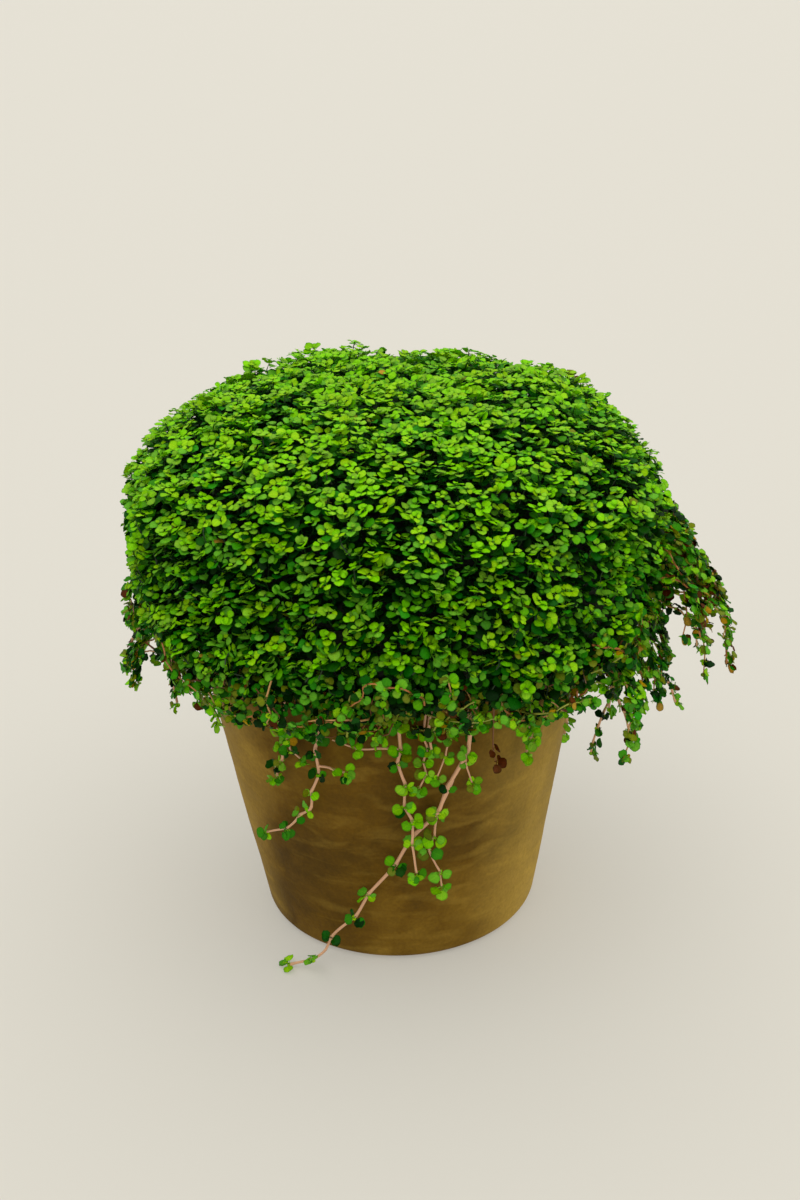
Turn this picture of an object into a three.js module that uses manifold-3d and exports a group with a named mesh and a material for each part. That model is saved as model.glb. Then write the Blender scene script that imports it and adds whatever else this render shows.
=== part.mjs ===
// A pot of baby's tears: a tapered clay pot, its potting mix, the cushion of leafy stems that
// has grown together over the rim, and the leafy stems that trail from it one by one.
// Millimetres, +Z up. The origin is the middle of the pot's foot, on the surface it stands on,
// and the plant's front faces -Y.
import * as THREE from "three";
import { mergeVertices } from "three/addons/utils/BufferGeometryUtils.js";
import Module from "manifold-3d";

const wasm = await Module();
wasm.setup();

// ---- Pot: one thick turned clay wall with no collar ----
const RIM_RADIUS = 70;
const FOOT_RADIUS = 50;
const POT_HEIGHT = 115;
const WALL = 6.5;
const FLOOR = 9;
const FOOT_ROUNDING = 4;
const LIP_ROUNDING = 2.2;
const CORNER_ROUNDING = 7; // inside, where the wall meets the floor
const DRAIN_RADIUS = 5.5;
const DRAIN_COUNT = 3;
const DRAIN_CIRCLE = 23; // from the pot's axis to each drain hole's
const POT_SIDES = 48;
const DRAIN_SIDES = 12;

// ---- Potting mix ----
const SOIL_BELOW_RIM = 12;
const SOIL_CROWN = 4; // how much higher it is in the middle than at the wall
const SOIL_SIDES = 32;

// ---- Cushion of leaves ----
const CUSHION_RISE = 81; // of its crown above the pot's rim
const CUSHION_OVERHANG = 23.5; // past the rim, where the cushion is widest
const WIDEST_ABOVE_RIM = 21;
const SHOULDER_SQUARENESS = 2.9; // 2 is an ellipse; more has a flatter top and fuller shoulders
const FRONT_HEM_BELOW_RIM = 9; // how far the overhanging skirt comes down the pot's front
const BACK_HEM_BELOW_RIM = 31;
const HEM_THICKNESS = 7;
const CUSHION_LEAN = 3; // the cushion has grown this far to +X of the pot
const LEFT_TUCK = 9; // how much closer to the pot the skirt's hem hangs at -X
const LUMP = 1.8; // height of the cushion's gentle lumps
const CUSHION_SIDES = 48;
const CROWN_ROWS = 9;
const SKIRT_ROWS = 4;

// ---- Trailing stems ----
const STEM_SIDES = 4;
const STEM_STEP = 9; // between the rings of a stem's tube
const LEAF_SIDES = 6;
const LEAF_THICKNESS = 0.9;
const LEAF_OVERLAP = 0.6; // how far a leaf's base runs past the middle of its stem
const TRAIL_TOP_BELOW_RIM = 10; // where the routes below count their fall from
const TRAIL_STANDOFF = 4; // between a trailing stem's middle and the line of the pot's wall
const TABLE_STANDOFF = 1.6; // between the middle of a stem lying on the table and the table

// ---- Fits ----
const GAP = 0.4; // between any two pieces that touch

const TAPER = (RIM_RADIUS - FOOT_RADIUS) / POT_HEIGHT;
const wallRadius = (z) => FOOT_RADIUS + TAPER * z;
const boreRadius = (z) => wallRadius(z) - WALL;
const SOIL_EDGE = POT_HEIGHT - SOIL_BELOW_RIM;
const WIDEST = POT_HEIGHT + WIDEST_ABOVE_RIM;
const CROWN = POT_HEIGHT + CUSHION_RISE;
const CUSHION_RADIUS = RIM_RADIUS + CUSHION_OVERHANG;
const HEM = POT_HEIGHT - BACK_HEM_BELOW_RIM;
const FRONT_LIFT = BACK_HEM_BELOW_RIM - FRONT_HEM_BELOW_RIM;

const clay = new THREE.MeshStandardMaterial({ color: 0x7a6238, roughness: 0.85 });
const mix = new THREE.MeshStandardMaterial({ color: 0x2b1d12, roughness: 1 });
const leafy = new THREE.MeshStandardMaterial({ color: 0x3f8f1a, roughness: 0.5 });
const dry = new THREE.MeshStandardMaterial({ color: 0x5a4028, roughness: 0.8 });

// ---- Solids ----

/** A closed geometry as a solid. */
function solid(geometry) {
  const source = geometry.index ? geometry.toNonIndexed() : geometry;
  const bare = new THREE.BufferGeometry();
  bare.setAttribute("position", source.getAttribute("position"));
  const merged = mergeVertices(bare, 1e-3);
  return new wasm.Manifold(
    new wasm.Mesh({
      numProp: 3,
      vertProperties: merged.attributes.position.array,
      triVerts: new Uint32Array(merged.index.array),
    }),
  );
}

/** A solid's surface as a geometry. */
function surface(body) {
  const made = body.getMesh();
  const geometry = new THREE.BufferGeometry();
  geometry.setAttribute(
    "position",
    new THREE.BufferAttribute(new Float32Array(made.vertProperties), 3),
  );
  geometry.setIndex(new THREE.BufferAttribute(made.triVerts, 1));
  geometry.computeVertexNormals();
  return geometry;
}

/** A solid turned about Z from a profile whose points are (radius, height). */
function turned(profile, sides) {
  const points = profile.map(([r, z]) => new THREE.Vector2(r, z));
  return new THREE.LatheGeometry(points, sides).rotateX(Math.PI / 2);
}

/** The points of a Path, with each rounded corner cut into a few steps. */
function pathPoints(path, steps = 2) {
  return path.getPoints(steps).map((p) => [p.x, p.y]);
}

// ---- Pot and potting mix ----

/** The pot's section, from the middle of its foot, up the outside and down the inside. */
function potProfile() {
  const path = new THREE.Path();
  const lip = LIP_ROUNDING;
  path.moveTo(0, 0);
  path.lineTo(FOOT_RADIUS - FOOT_ROUNDING, 0);
  path.quadraticCurveTo(FOOT_RADIUS, 0, wallRadius(FOOT_ROUNDING), FOOT_ROUNDING);
  path.lineTo(wallRadius(POT_HEIGHT - lip), POT_HEIGHT - lip);
  path.quadraticCurveTo(RIM_RADIUS, POT_HEIGHT, RIM_RADIUS - lip, POT_HEIGHT);
  path.lineTo(boreRadius(POT_HEIGHT) + lip, POT_HEIGHT);
  path.quadraticCurveTo(
    boreRadius(POT_HEIGHT),
    POT_HEIGHT,
    boreRadius(POT_HEIGHT - lip),
    POT_HEIGHT - lip,
  );
  const corner = FLOOR + CORNER_ROUNDING;
  path.lineTo(boreRadius(corner), corner);
  path.quadraticCurveTo(boreRadius(FLOOR), FLOOR, boreRadius(FLOOR) - CORNER_ROUNDING, FLOOR);
  path.lineTo(0, FLOOR);
  return pathPoints(path);
}

function pot() {
  let body = solid(turned(potProfile(), POT_SIDES));
  for (let i = 0; i < DRAIN_COUNT; i++) {
    const angle = (i / DRAIN_COUNT) * 2 * Math.PI + Math.PI / 2;
    const drill = new THREE.CylinderGeometry(DRAIN_RADIUS, DRAIN_RADIUS, 3 * FLOOR, DRAIN_SIDES);
    drill.rotateX(Math.PI / 2);
    drill.translate(DRAIN_CIRCLE * Math.cos(angle), DRAIN_CIRCLE * Math.sin(angle), 0);
    body = body.subtract(solid(drill));
  }
  return body;
}

function pottingMix() {
  const path = new THREE.Path();
  const base = FLOOR + GAP;
  const corner = base + CORNER_ROUNDING;
  const side = (z) => boreRadius(z) - GAP;
  path.moveTo(0, base);
  path.lineTo(side(base) - CORNER_ROUNDING, base);
  path.quadraticCurveTo(side(base), base, side(corner), corner);
  path.lineTo(side(SOIL_EDGE), SOIL_EDGE);
  path.quadraticCurveTo(side(SOIL_EDGE) / 2, SOIL_EDGE + SOIL_CROWN, 0, SOIL_EDGE + SOIL_CROWN);
  return solid(turned(pathPoints(path), SOIL_SIDES));
}

// ---- Cushion ----

/** How high the skirt's hem is at an azimuth: highest at the front, lowest at the back. */
const hemHeight = (azimuth) => HEM + FRONT_LIFT * (0.5 - 0.5 * Math.sin(azimuth)) ** 2;

/** The gentle lumps of the cushion's surface, from -1 to 1. */
const lumps = (azimuth, height) =>
  0.6 * Math.sin(5 * azimuth + height / 17) + 0.4 * Math.sin(3 * azimuth - height / 11 + 1);

/** The cushion's section, from the axis at the hem, out round the skirt and up to the crown. */
function cushionProfile() {
  const profile = [[0, HEM]];
  const hemRadius = wallRadius(HEM) + HEM_THICKNESS;
  for (let i = SKIRT_ROWS; i > 0; i--) {
    const t = (i / SKIRT_ROWS) * (Math.PI / 2);
    const r = hemRadius + (CUSHION_RADIUS - hemRadius) * Math.cos(t);
    profile.push([r, WIDEST - (WIDEST - HEM) * Math.sin(t)]);
  }
  const power = 2 / SHOULDER_SQUARENESS;
  for (let i = 0; i < CROWN_ROWS; i++) {
    const t = (i / CROWN_ROWS) * (Math.PI / 2);
    const rise = (CROWN - WIDEST) * Math.sin(t) ** power;
    profile.push([CUSHION_RADIUS * Math.cos(t) ** power, WIDEST + rise]);
  }
  profile.push([0, CROWN]);
  return profile;
}

/** The cushion with its overhang, before the pot and the potting mix are taken out of it. */
function cushion() {
  const geometry = turned(cushionProfile(), CUSHION_SIDES);
  const place = geometry.getAttribute("position");
  for (let i = 0; i < place.count; i++) {
    const [x, y, z] = [place.getX(i), place.getY(i), place.getZ(i)];
    const r = Math.hypot(x, y);
    const azimuth = Math.atan2(y, x);
    const out = Math.min(1, r / CUSHION_RADIUS);
    const wide = r > 1 ? 1 + (LUMP * lumps(azimuth, z) * out) / r : 1;
    const share = Math.max(0, (WIDEST - z) / (WIDEST - HEM));
    const lift = r > 1 ? share * (hemHeight(azimuth) - HEM) : 0;
    const lean = CUSHION_LEAN * out * (1 - share);
    const tuck = r > 1 ? LEFT_TUCK * share * Math.max(0, -Math.cos(azimuth)) : 0;
    place.setXYZ(i, x * wide + lean + tuck, y * wide, z + lift);
  }
  return solid(geometry);
}

/** What the cushion wraps round: the pot and its filling, a gap larger. */
function holder() {
  const low = HEM / 2;
  const profile = [
    [0, low],
    [wallRadius(low) + GAP, low],
    [RIM_RADIUS + GAP, POT_HEIGHT + GAP],
    [boreRadius(POT_HEIGHT) - GAP, POT_HEIGHT + GAP],
    [boreRadius(SOIL_EDGE) - GAP, SOIL_EDGE + GAP],
    [boreRadius(SOIL_EDGE) / 2, SOIL_EDGE + 0.75 * SOIL_CROWN + GAP],
    [0, SOIL_EDGE + SOIL_CROWN + GAP],
  ];
  return solid(turned(profile, POT_SIDES));
}

// ---- Trailing stems ----
// A route's points are [azimuth in degrees, fall, standoff]. Azimuth -90 is the front. The fall
// is 0 near the rim and 1 on the table. The standoff is from the line of the pot's wall, or from
// the cushion's side where a stem grows out of that.

const TRAIL_TOP = POT_HEIGHT - TRAIL_TOP_BELOW_RIM;
const cushionSide = () => CUSHION_RADIUS;

/** The curve along a route. A branch's curve begins where it leaves its parent's. */
function routeCurve(route, reach = wallRadius, start) {
  const points = route.map(([azimuth, fall, standoff = TRAIL_STANDOFF]) => {
    const z = TRAIL_TOP + (TABLE_STANDOFF - TRAIL_TOP) * fall;
    const r = reach(z) + standoff;
    const a = THREE.MathUtils.degToRad(azimuth);
    return new THREE.Vector3(r * Math.cos(a), r * Math.sin(a), z);
  });
  if (start) points.unshift(start);
  return new THREE.CatmullRomCurve3(points, false, "centripetal");
}

/** The way out from whatever a point is nearest to: the pot's wall, or the table. */
function outward(at) {
  const r = Math.hypot(at.x, at.y);
  if (at.z < r - wallRadius(at.z)) return new THREE.Vector3(0, 0, 1);
  return new THREE.Vector3(at.x / r, at.y / r, 0);
}

function stemTube(curve, radius) {
  const section = new THREE.Shape();
  for (let i = 0; i < STEM_SIDES; i++) {
    const a = (i / STEM_SIDES) * 2 * Math.PI;
    const [x, y] = [radius * Math.cos(a), radius * Math.sin(a)];
    if (i) section.lineTo(x, y);
    else section.moveTo(x, y);
  }
  section.closePath();
  const steps = Math.max(2, Math.round(curve.getLength() / STEM_STEP));
  const options = { steps, extrudePath: curve, bevelEnabled: false };
  return solid(new THREE.ExtrudeGeometry(section, options));
}

/** A round leaf joined to its stem by its base, pointing along, its upper side to the facing. */
function leaf(at, along, facing, size, margin) {
  const outline = new THREE.Shape();
  const flat = Math.cos(Math.PI / LEAF_SIDES); // from the middle to a side, of 1 to a corner
  const middle = (size / 2) * flat - LEAF_OVERLAP;
  const r = size / 2 + margin / flat;
  for (let i = 0; i < LEAF_SIDES; i++) {
    const a = ((i + 0.5) / LEAF_SIDES) * 2 * Math.PI;
    const [x, y] = [middle + r * Math.cos(a), r * Math.sin(a)];
    if (i) outline.lineTo(x, y);
    else outline.moveTo(x, y);
  }
  outline.closePath();
  const depth = LEAF_THICKNESS + 2 * margin;
  const blade = new THREE.ExtrudeGeometry(outline, { depth, bevelEnabled: false });
  blade.translate(0, 0, -depth / 2);
  const x = along.clone().normalize();
  const y = facing.clone().cross(x).normalize();
  const z = x.clone().cross(y);
  blade.applyMatrix4(new THREE.Matrix4().makeBasis(x, y, z).setPosition(at));
  return solid(blade);
}

/**
 * A stem and its leaves as one body. The leaves sit at even steps from the share "from" of the
 * stem's length, left and right by turns, with the last at its tip. A margin above 0 gives the
 * space that the body needs round it.
 */
function leafyStem(curve, { radius = 0.8, leaves = 0, from = 0.15, size = 5 }, margin) {
  let body = stemTube(curve, radius + margin);
  for (let i = 0; i < leaves; i++) {
    const share = from + ((1 - from) * (i + 1)) / leaves;
    const at = curve.getPointAt(share);
    const way = curve.getTangentAt(share);
    const facing = outward(at);
    const side = way.clone().cross(facing).normalize();
    const last = i === leaves - 1;
    const along = last ? way : side.multiplyScalar(i % 2 ? 1 : -1).addScaledVector(way, 0.35);
    body = body.add(leaf(at, along, facing, size, margin));
  }
  return body;
}

/** A trailing stem with its branches, which grew from it as one piece. */
function trailer([main, ...branches], margin = 0) {
  const curve = routeCurve(main.route, main.reach);
  let body = leafyStem(curve, main, margin);
  for (const branch of branches) {
    const start = curve.getPointAt(branch.on);
    body = body.add(leafyStem(routeCurve(branch.route, main.reach, start), branch, margin));
  }
  return body;
}

// The branches come after their main stem, each with the share of its length that it leaves at.
const TRAILERS = {
  front_left_trailer: [
    { leaves: 5, route: [[-118, -0.07], [-119, 0.02], [-121, 0.11], [-126, 0.24]] },
  ],
  front_curling_trailer: [
    {
      leaves: 7,
      route: [[-108, -0.08], [-110, 0.03], [-112, 0.2], [-115, 0.31], [-121, 0.41], [-136, 0.53]],
    },
    { on: 0.34, leaves: 2, route: [[-108, 0.16], [-104, 0.18]] },
  ],
  front_middle_trailer: [
    { leaves: 6, route: [[-88, -0.05], [-89, 0.14], [-88, 0.24, 5], [-86, 0.4, 8], [-86, 0.56, 8]] },
    { on: 0.23, radius: 0.6, route: [[-97, 0.08], [-106, 0.045]] },
  ],
  front_long_trailer: [
    {
      leaves: 11,
      route: [
        [-69, -0.05],
        [-71, 0.11],
        [-76, 0.27],
        [-80, 0.36],
        [-88, 0.48],
        [-97, 0.63],
        [-105, 0.76],
        [-113, 0.87, 5],
        [-118, 0.95, 9],
        [-127, 1, 16],
      ],
    },
    { on: 0.23, leaves: 4, size: 6, route: [[-80, 0.45], [-79, 0.56], [-76, 0.66]] },
    { on: 0.14, leaves: 1, route: [[-69, 0.25]] },
  ],
  front_short_trailer: [{ leaves: 2, route: [[-81, -0.04], [-81, 0.09]] }],
  front_dry_trailer: [{ leaves: 2, route: [[-64, -0.05], [-63, 0.08], [-62, 0.19]] }],
  front_right_trailer: [{ leaves: 5, route: [[-53, -0.06], [-51, 0.1], [-50, 0.2]] }],
  right_high_spray: [
    {
      reach: cushionSide,
      leaves: 6,
      size: 6,
      route: [[-9, -0.27, -7], [-6, -0.26, 9], [-5, -0.18, 19], [-4, -0.06, 24], [-4, 0.13, 26]],
    },
    { on: 0.35, leaves: 2, size: 6, route: [[-9, -0.12, 13], [-10, 0.01, 14]] },
  ],
  right_low_spray: [
    {
      reach: cushionSide,
      leaves: 4,
      size: 6,
      route: [[-12, -0.02, -11], [-10, 0.1, -5], [-8, 0.17, 5], [-6, 0.26, 8]],
    },
  ],
  right_hanging_trailer: [
    { reach: cushionSide, leaves: 4, route: [[-20, -0.03, -15], [-17, 0.12, -13], [-14, 0.3, -8]] },
    { on: 0.5, leaves: 2, route: [[-22, 0.24, -17], [-21, 0.36, -20]] },
  ],
  right_wall_trailer: [{ leaves: 4, route: [[-36, -0.04], [-34, 0.08], [-33, 0.22, 5]] }],
  left_high_spray: [
    { reach: cushionSide, leaves: 4, route: [[-172, -0.14, -9], [-173, -0.06, -2], [-173, 0.03, -1]] },
  ],
  left_hanging_trailer: [{ leaves: 4, route: [[-168, -0.04, 9], [-166, 0.06, 12], [-165, 0.14, 13]] }],
  left_wall_trailer: [{ leaves: 4, route: [[-152, -0.1, 6], [-150, 0.03, 6], [-148, 0.14]] }],
  back_long_trailer: [
    {
      leaves: 6,
      route: [[96, 0.1], [98, 0.25], [103, 0.42], [101, 0.6], [106, 0.74]],
    },
  ],
  back_left_trailer: [{ leaves: 4, route: [[142, 0.08], [146, 0.24], [143, 0.42]] }],
  back_right_trailer: [{ leaves: 5, route: [[48, 0.08], [45, 0.25], [50, 0.4], [47, 0.52]] }],
  back_short_trailer: [{ leaves: 3, route: [[72, 0.1], [74, 0.24], [70, 0.36]] }],
};

const DRIED = new Set(["front_dry_trailer"]);

// ---- The object ----

const plant = new THREE.Group();

function addPiece(name, body, material) {
  const mesh = new THREE.Mesh(surface(body), material);
  mesh.name = name;
  plant.add(mesh);
}

addPiece("clay_pot", pot(), clay);
addPiece("potting_mix", pottingMix(), mix);

let leaves = cushion().subtract(holder());
for (const stems of Object.values(TRAILERS)) leaves = leaves.subtract(trailer(stems, GAP));
addPiece("leaf_cushion", leaves, leafy);
for (const [name, stems] of Object.entries(TRAILERS)) {
  addPiece(name, trailer(stems), DRIED.has(name) ? dry : leafy);
}

export default plant;
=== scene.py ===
"""A pot of baby's tears: a cushion of small round leaves grown over the rim of an aged clay pot.

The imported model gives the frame. The pot and its filling are made afresh at their CAD size, and
the CAD plant is replaced by separate leaves and stems that grow from the surface of its solids.
Metres, +Z up, the plant's front to -Y. MM turns a size in millimetres to metres.
"""

import logging
import math
from dataclasses import dataclass, field
from enum import Enum, IntEnum
from typing import Callable

import bpy
import numpy as np
from mathutils import Matrix, Vector, noise
from mathutils.kdtree import KDTree


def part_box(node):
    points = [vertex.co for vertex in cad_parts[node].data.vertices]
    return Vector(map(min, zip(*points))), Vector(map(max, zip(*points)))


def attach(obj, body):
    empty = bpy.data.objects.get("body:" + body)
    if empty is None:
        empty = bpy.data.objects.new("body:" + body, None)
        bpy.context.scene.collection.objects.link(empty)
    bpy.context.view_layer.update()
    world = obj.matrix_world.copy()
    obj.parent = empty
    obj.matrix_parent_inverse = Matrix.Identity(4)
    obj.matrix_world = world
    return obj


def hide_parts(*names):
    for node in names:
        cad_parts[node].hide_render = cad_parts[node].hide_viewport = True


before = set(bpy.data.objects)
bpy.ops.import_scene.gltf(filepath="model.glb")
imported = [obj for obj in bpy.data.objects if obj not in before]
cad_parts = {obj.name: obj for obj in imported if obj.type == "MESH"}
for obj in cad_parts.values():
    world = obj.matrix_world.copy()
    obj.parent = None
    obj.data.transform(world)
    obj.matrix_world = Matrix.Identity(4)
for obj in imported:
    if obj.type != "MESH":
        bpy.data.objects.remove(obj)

MM = 0.001
UP = np.array([0.0, 0.0, 1.0])
LOG = logging.getLogger("baby_tears")

GOLDEN_ANGLE = math.radians(137.5)
STALK = 0.22  # how far a blade stands off its stem, as a share of its length
ROW_KEYS = ("base", "forward", "normal", "size", "age", "shade")

Colour = tuple[float, float, float, float]
Point = tuple[float, float, float]
Clusters = tuple[tuple[float, int], ...]
Cloud = tuple[float, float]  # of unevenness: how wide it is, and how deep
Array = np.ndarray
Material = bpy.types.Material
Node = bpy.types.Node
Piece = bpy.types.Object
Socket = bpy.types.NodeSocket


# ---------------------------------------------------------------------------------------------
# Nodes and colours
# ---------------------------------------------------------------------------------------------


def linear(hex_colour: str) -> Colour:
    """Turn an sRGB hex colour to linear light.

    Args:
        hex_colour: Six hex digits after a hash, such as "#5A4A2C".

    Returns:
        Red, green, blue and an alpha of 1.
    """
    parts = [int(hex_colour[i : i + 2], 16) / 255 for i in (1, 3, 5)]
    curve = [c / 12.92 if c <= 0.04045 else ((c + 0.055) / 1.055) ** 2.4 for c in parts]
    return (curve[0], curve[1], curve[2], 1.0)


class Nodes:
    """A new material's node tree, and short ways to add to it."""

    def __init__(self, name: str) -> None:
        """Make a material with only an output node."""
        self.material = bpy.data.materials.new(name)
        self.material.use_nodes = True
        self.tree = self.material.node_tree
        self.tree.nodes.clear()
        self.output = self.tree.nodes.new("ShaderNodeOutputMaterial")

    def add(self, kind: str, inputs: dict[str | int, object] | None = None, **settings: object) -> Node:
        """Add a node, set its properties, and fill or link its inputs.

        Args:
            kind: The node's type without its ShaderNode prefix.
            inputs: Input sockets by name or index, each with a value or the socket that feeds it.
            settings: Properties of the node by name.

        Returns:
            The new node.
        """
        node = self.tree.nodes.new("ShaderNode" + kind)
        for name, value in settings.items():
            setattr(node, name, value)
        for key, value in (inputs or {}).items():
            if isinstance(value, Socket):
                self.tree.links.new(value, node.inputs[key])
            else:
                node.inputs[key].default_value = value
        return node

    def place(self) -> Socket:
        """Give each point's place in the piece's own space."""
        return self.add("TexCoord").outputs["Object"]

    def noise(self, place: Socket, size: float, detail: float, **more: float) -> Node:
        """Add noise of a given size and detail, with more inputs by name."""
        named = {name.capitalize(): value for name, value in more.items()}
        return self.add("TexNoise", {"Vector": place, "Scale": 1 / size, "Detail": detail, **named})

    def ramp(self, factor: Socket, stops: list[tuple[float, str]], interpolation: str = "LINEAR") -> Socket:
        """Colour a factor by a ramp.

        Args:
            factor: The socket that drives the ramp.
            stops: Each stop's place from 0 to 1 and its hex colour.
            interpolation: How the ramp goes between stops.

        Returns:
            The ramp's colour socket.
        """
        node = self.add("ValToRGB", {"Fac": factor})
        ramp = node.color_ramp
        ramp.interpolation = interpolation
        while len(ramp.elements) < len(stops):
            ramp.elements.new(1.0)
        for element, (place, colour) in zip(ramp.elements, stops):
            element.position = place
            element.color = linear(colour)
        return node.outputs["Color"]

    def calc(self, operation: str, *values: object, clamp: bool = False) -> Socket:
        """Work out some values or sockets, and give the result."""
        return self.add("Math", dict(enumerate(values)), operation=operation, use_clamp=clamp).outputs[0]

    def scaled(self, value: object, factor: object, offset: object, clamp: bool = False) -> Socket:
        """Give a value times a factor plus an offset."""
        return self.calc("MULTIPLY_ADD", value, factor, offset, clamp=clamp)

    def vector(self, operation: str, *values: object) -> Socket:
        """Work out some vectors, and give the result."""
        return self.add("VectorMath", dict(enumerate(values)), operation=operation).outputs[0]

    def split(self, vector: Socket) -> bpy.types.NodeOutputs:
        """Split a vector into its three parts."""
        return self.add("SeparateXYZ", {0: vector}).outputs

    def mix(self, factor: object, first: object, second: object, blend: str = "MIX") -> Socket:
        """Mix two colours or colour sockets, and give the result."""
        inputs = {0: factor, 6: first, 7: second}
        return self.add("Mix", inputs, data_type="RGBA", blend_type=blend).outputs[2]

    def bump(self, height: Socket, strength: float, distance: float, invert: bool = False) -> Socket:
        """Turn a height into small unevenness of the surface."""
        inputs = {"Height": height, "Strength": strength, "Distance": distance}
        return self.add("Bump", inputs, invert=invert).outputs[0]

    def finish(self, shader: Node) -> Material:
        """Put a shader on the output, and give the finished material."""
        self.tree.links.new(shader.outputs[0], self.output.inputs["Surface"])
        return self.material

    def principled(self, colour: object, roughness: object, **more: object) -> Node:
        """Add the shader of a solid surface, with more inputs by name."""
        named = {name.replace("_", " "): value for name, value in more.items()}
        return self.add("BsdfPrincipled", {"Base Color": colour, "Roughness": roughness, **named})


# ---------------------------------------------------------------------------------------------
# Finishes
# ---------------------------------------------------------------------------------------------


@dataclass(frozen=True)
class WeatheredClay:
    """Unglazed terracotta, turned and fired, then stained by years of damp and algae.

    Its skin is matt and porous. The damp leaves broad olive-brown clouds, and the minerals in the
    water leave paler tan hazing and streaks. Its left and right sides are painted paler in the same
    tan, a painted sheen of light glancing off the pot's edges.
    """

    dark: str = "#453104"
    middle: str = "#674A06"
    light: str = "#84651A"
    haze: str = "#C8A64A"
    warp_size: float = 60 * MM
    warp: Point = (30 * MM, 30 * MM, 20 * MM)
    cloud_size: float = 45 * MM
    streak_size: float = 22 * MM
    streak_slope: Point = (0.18, 0.1, 0)
    streak_flatness: float = 3.2
    grain_size: float = 1.2 * MM
    # Painted sheen: the wall turns paler towards its left and right edges, away from this middle in X.
    damp_middle: float = 6 * MM
    dry_from: float = 33 * MM
    dry_width: float = 26 * MM
    roughness: float = 0.75
    gloss: float = 0.14

    def material(self) -> Material:
        """Build the clay's material."""
        n = Nodes("weathered_clay")
        place = n.place()
        warp = n.noise(place, self.warp_size, 3.0).outputs["Color"]
        bent = n.vector("MULTIPLY_ADD", warp, self.warp, place)
        clouds = n.noise(bent, self.cloud_size, 7.0, roughness=0.62).outputs["Fac"]
        base = n.ramp(clouds, [(0.3, self.dark), (0.5, self.middle), (0.7, self.light)])

        laid = {"Vector": bent, "Rotation": self.streak_slope, "Scale": (1, 1, self.streak_flatness)}
        flat = n.add("Mapping", laid).outputs[0]
        streaks = n.noise(flat, self.streak_size, 2.5, distortion=0.8).outputs["Fac"]
        streaky = n.scaled(streaks, 3.2, -1.62, clamp=True)
        # Painted sheen of light at the pot's left and right edges, mixed into the tan hazing.
        aside = n.calc("ABSOLUTE", n.calc("SUBTRACT", n.split(bent)[0], self.damp_middle))
        side_sheen = n.scaled(aside, 1 / self.dry_width, -self.dry_from / self.dry_width, clamp=True)
        patchy_side_sheen = n.calc("MULTIPLY", side_sheen, n.scaled(clouds, 0.7, 0.3))
        hazed_and_sheened = n.mix(n.scaled(streaky, 0.22, patchy_side_sheen, clamp=True), base, linear(self.haze))

        grain = n.noise(place, self.grain_size, 2.0).outputs["Fac"]
        speck = n.scaled(grain, 0.5, 0.75)
        grey = n.add("CombineColor", {0: speck, 1: speck, 2: speck}).outputs[0]
        colour = n.mix(1.0, hazed_and_sheened, grey, "MULTIPLY")
        bump = n.bump(n.scaled(clouds, 3.0, grain), 0.35, 0.25 * MM)
        dull = n.scaled(streaks, 0.3, self.roughness - 0.15)
        return n.finish(n.principled(colour, dull, Specular_IOR_Level=self.gloss, Normal=bump))


@dataclass(frozen=True)
class MoistPottingMix:
    """Peat and bark crumbs, kept damp: near-black brown crumbs with paler fibres, fully matt."""

    dark: str = "#1A110A"
    light: str = "#4A3420"
    crumb: float = 3 * MM

    def material(self) -> Material:
        """Build the mix's material."""
        n = Nodes("moist_potting_mix")
        place = n.place()
        crumbs = n.add("TexVoronoi", {"Vector": place, "Scale": 1 / self.crumb})
        fibres = n.noise(place, self.crumb / 2, 4.0)
        share = n.calc("MULTIPLY", crumbs.outputs["Color"], fibres.outputs["Fac"])
        colour = n.ramp(share, [(0.1, self.dark), (0.75, self.light)])
        bump = n.bump(crumbs.outputs["Distance"], 0.8, 1 * MM)
        return n.finish(n.principled(colour, 0.95, Normal=bump))


class LeafAge(Enum):
    """The rows of the leaves' map: how old a leaf looks, and for DEEP and SHADED, painted shade of leaves
    deep in the cushion. The value is its row on the leaves' map.
    """

    TIP = 0
    YOUNG = 1
    GROWN = 2
    # Painted shade: this row and the next are the dark greens of leaves deep in the cushion.
    DEEP = 3
    SHADED = 4
    OLIVE = 5
    YELLOWING = 6
    DRY = 7


class StemShade(IntEnum):
    """The colours a stem can have. The value is its column on the stems' map."""

    FRESH = 0
    TAN = 1
    PINK = 2
    RUSTY = 3
    BROWN = 4
    # Painted shade: a near-black green for stems inside the cushion.
    SHADED = 5


# The leaves' map has a cell for each of these rows, two of them painted shade, in as many shades.
AGE_AND_SHADE_ROWS = len(LeafAge)
SHADES = 8


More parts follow.
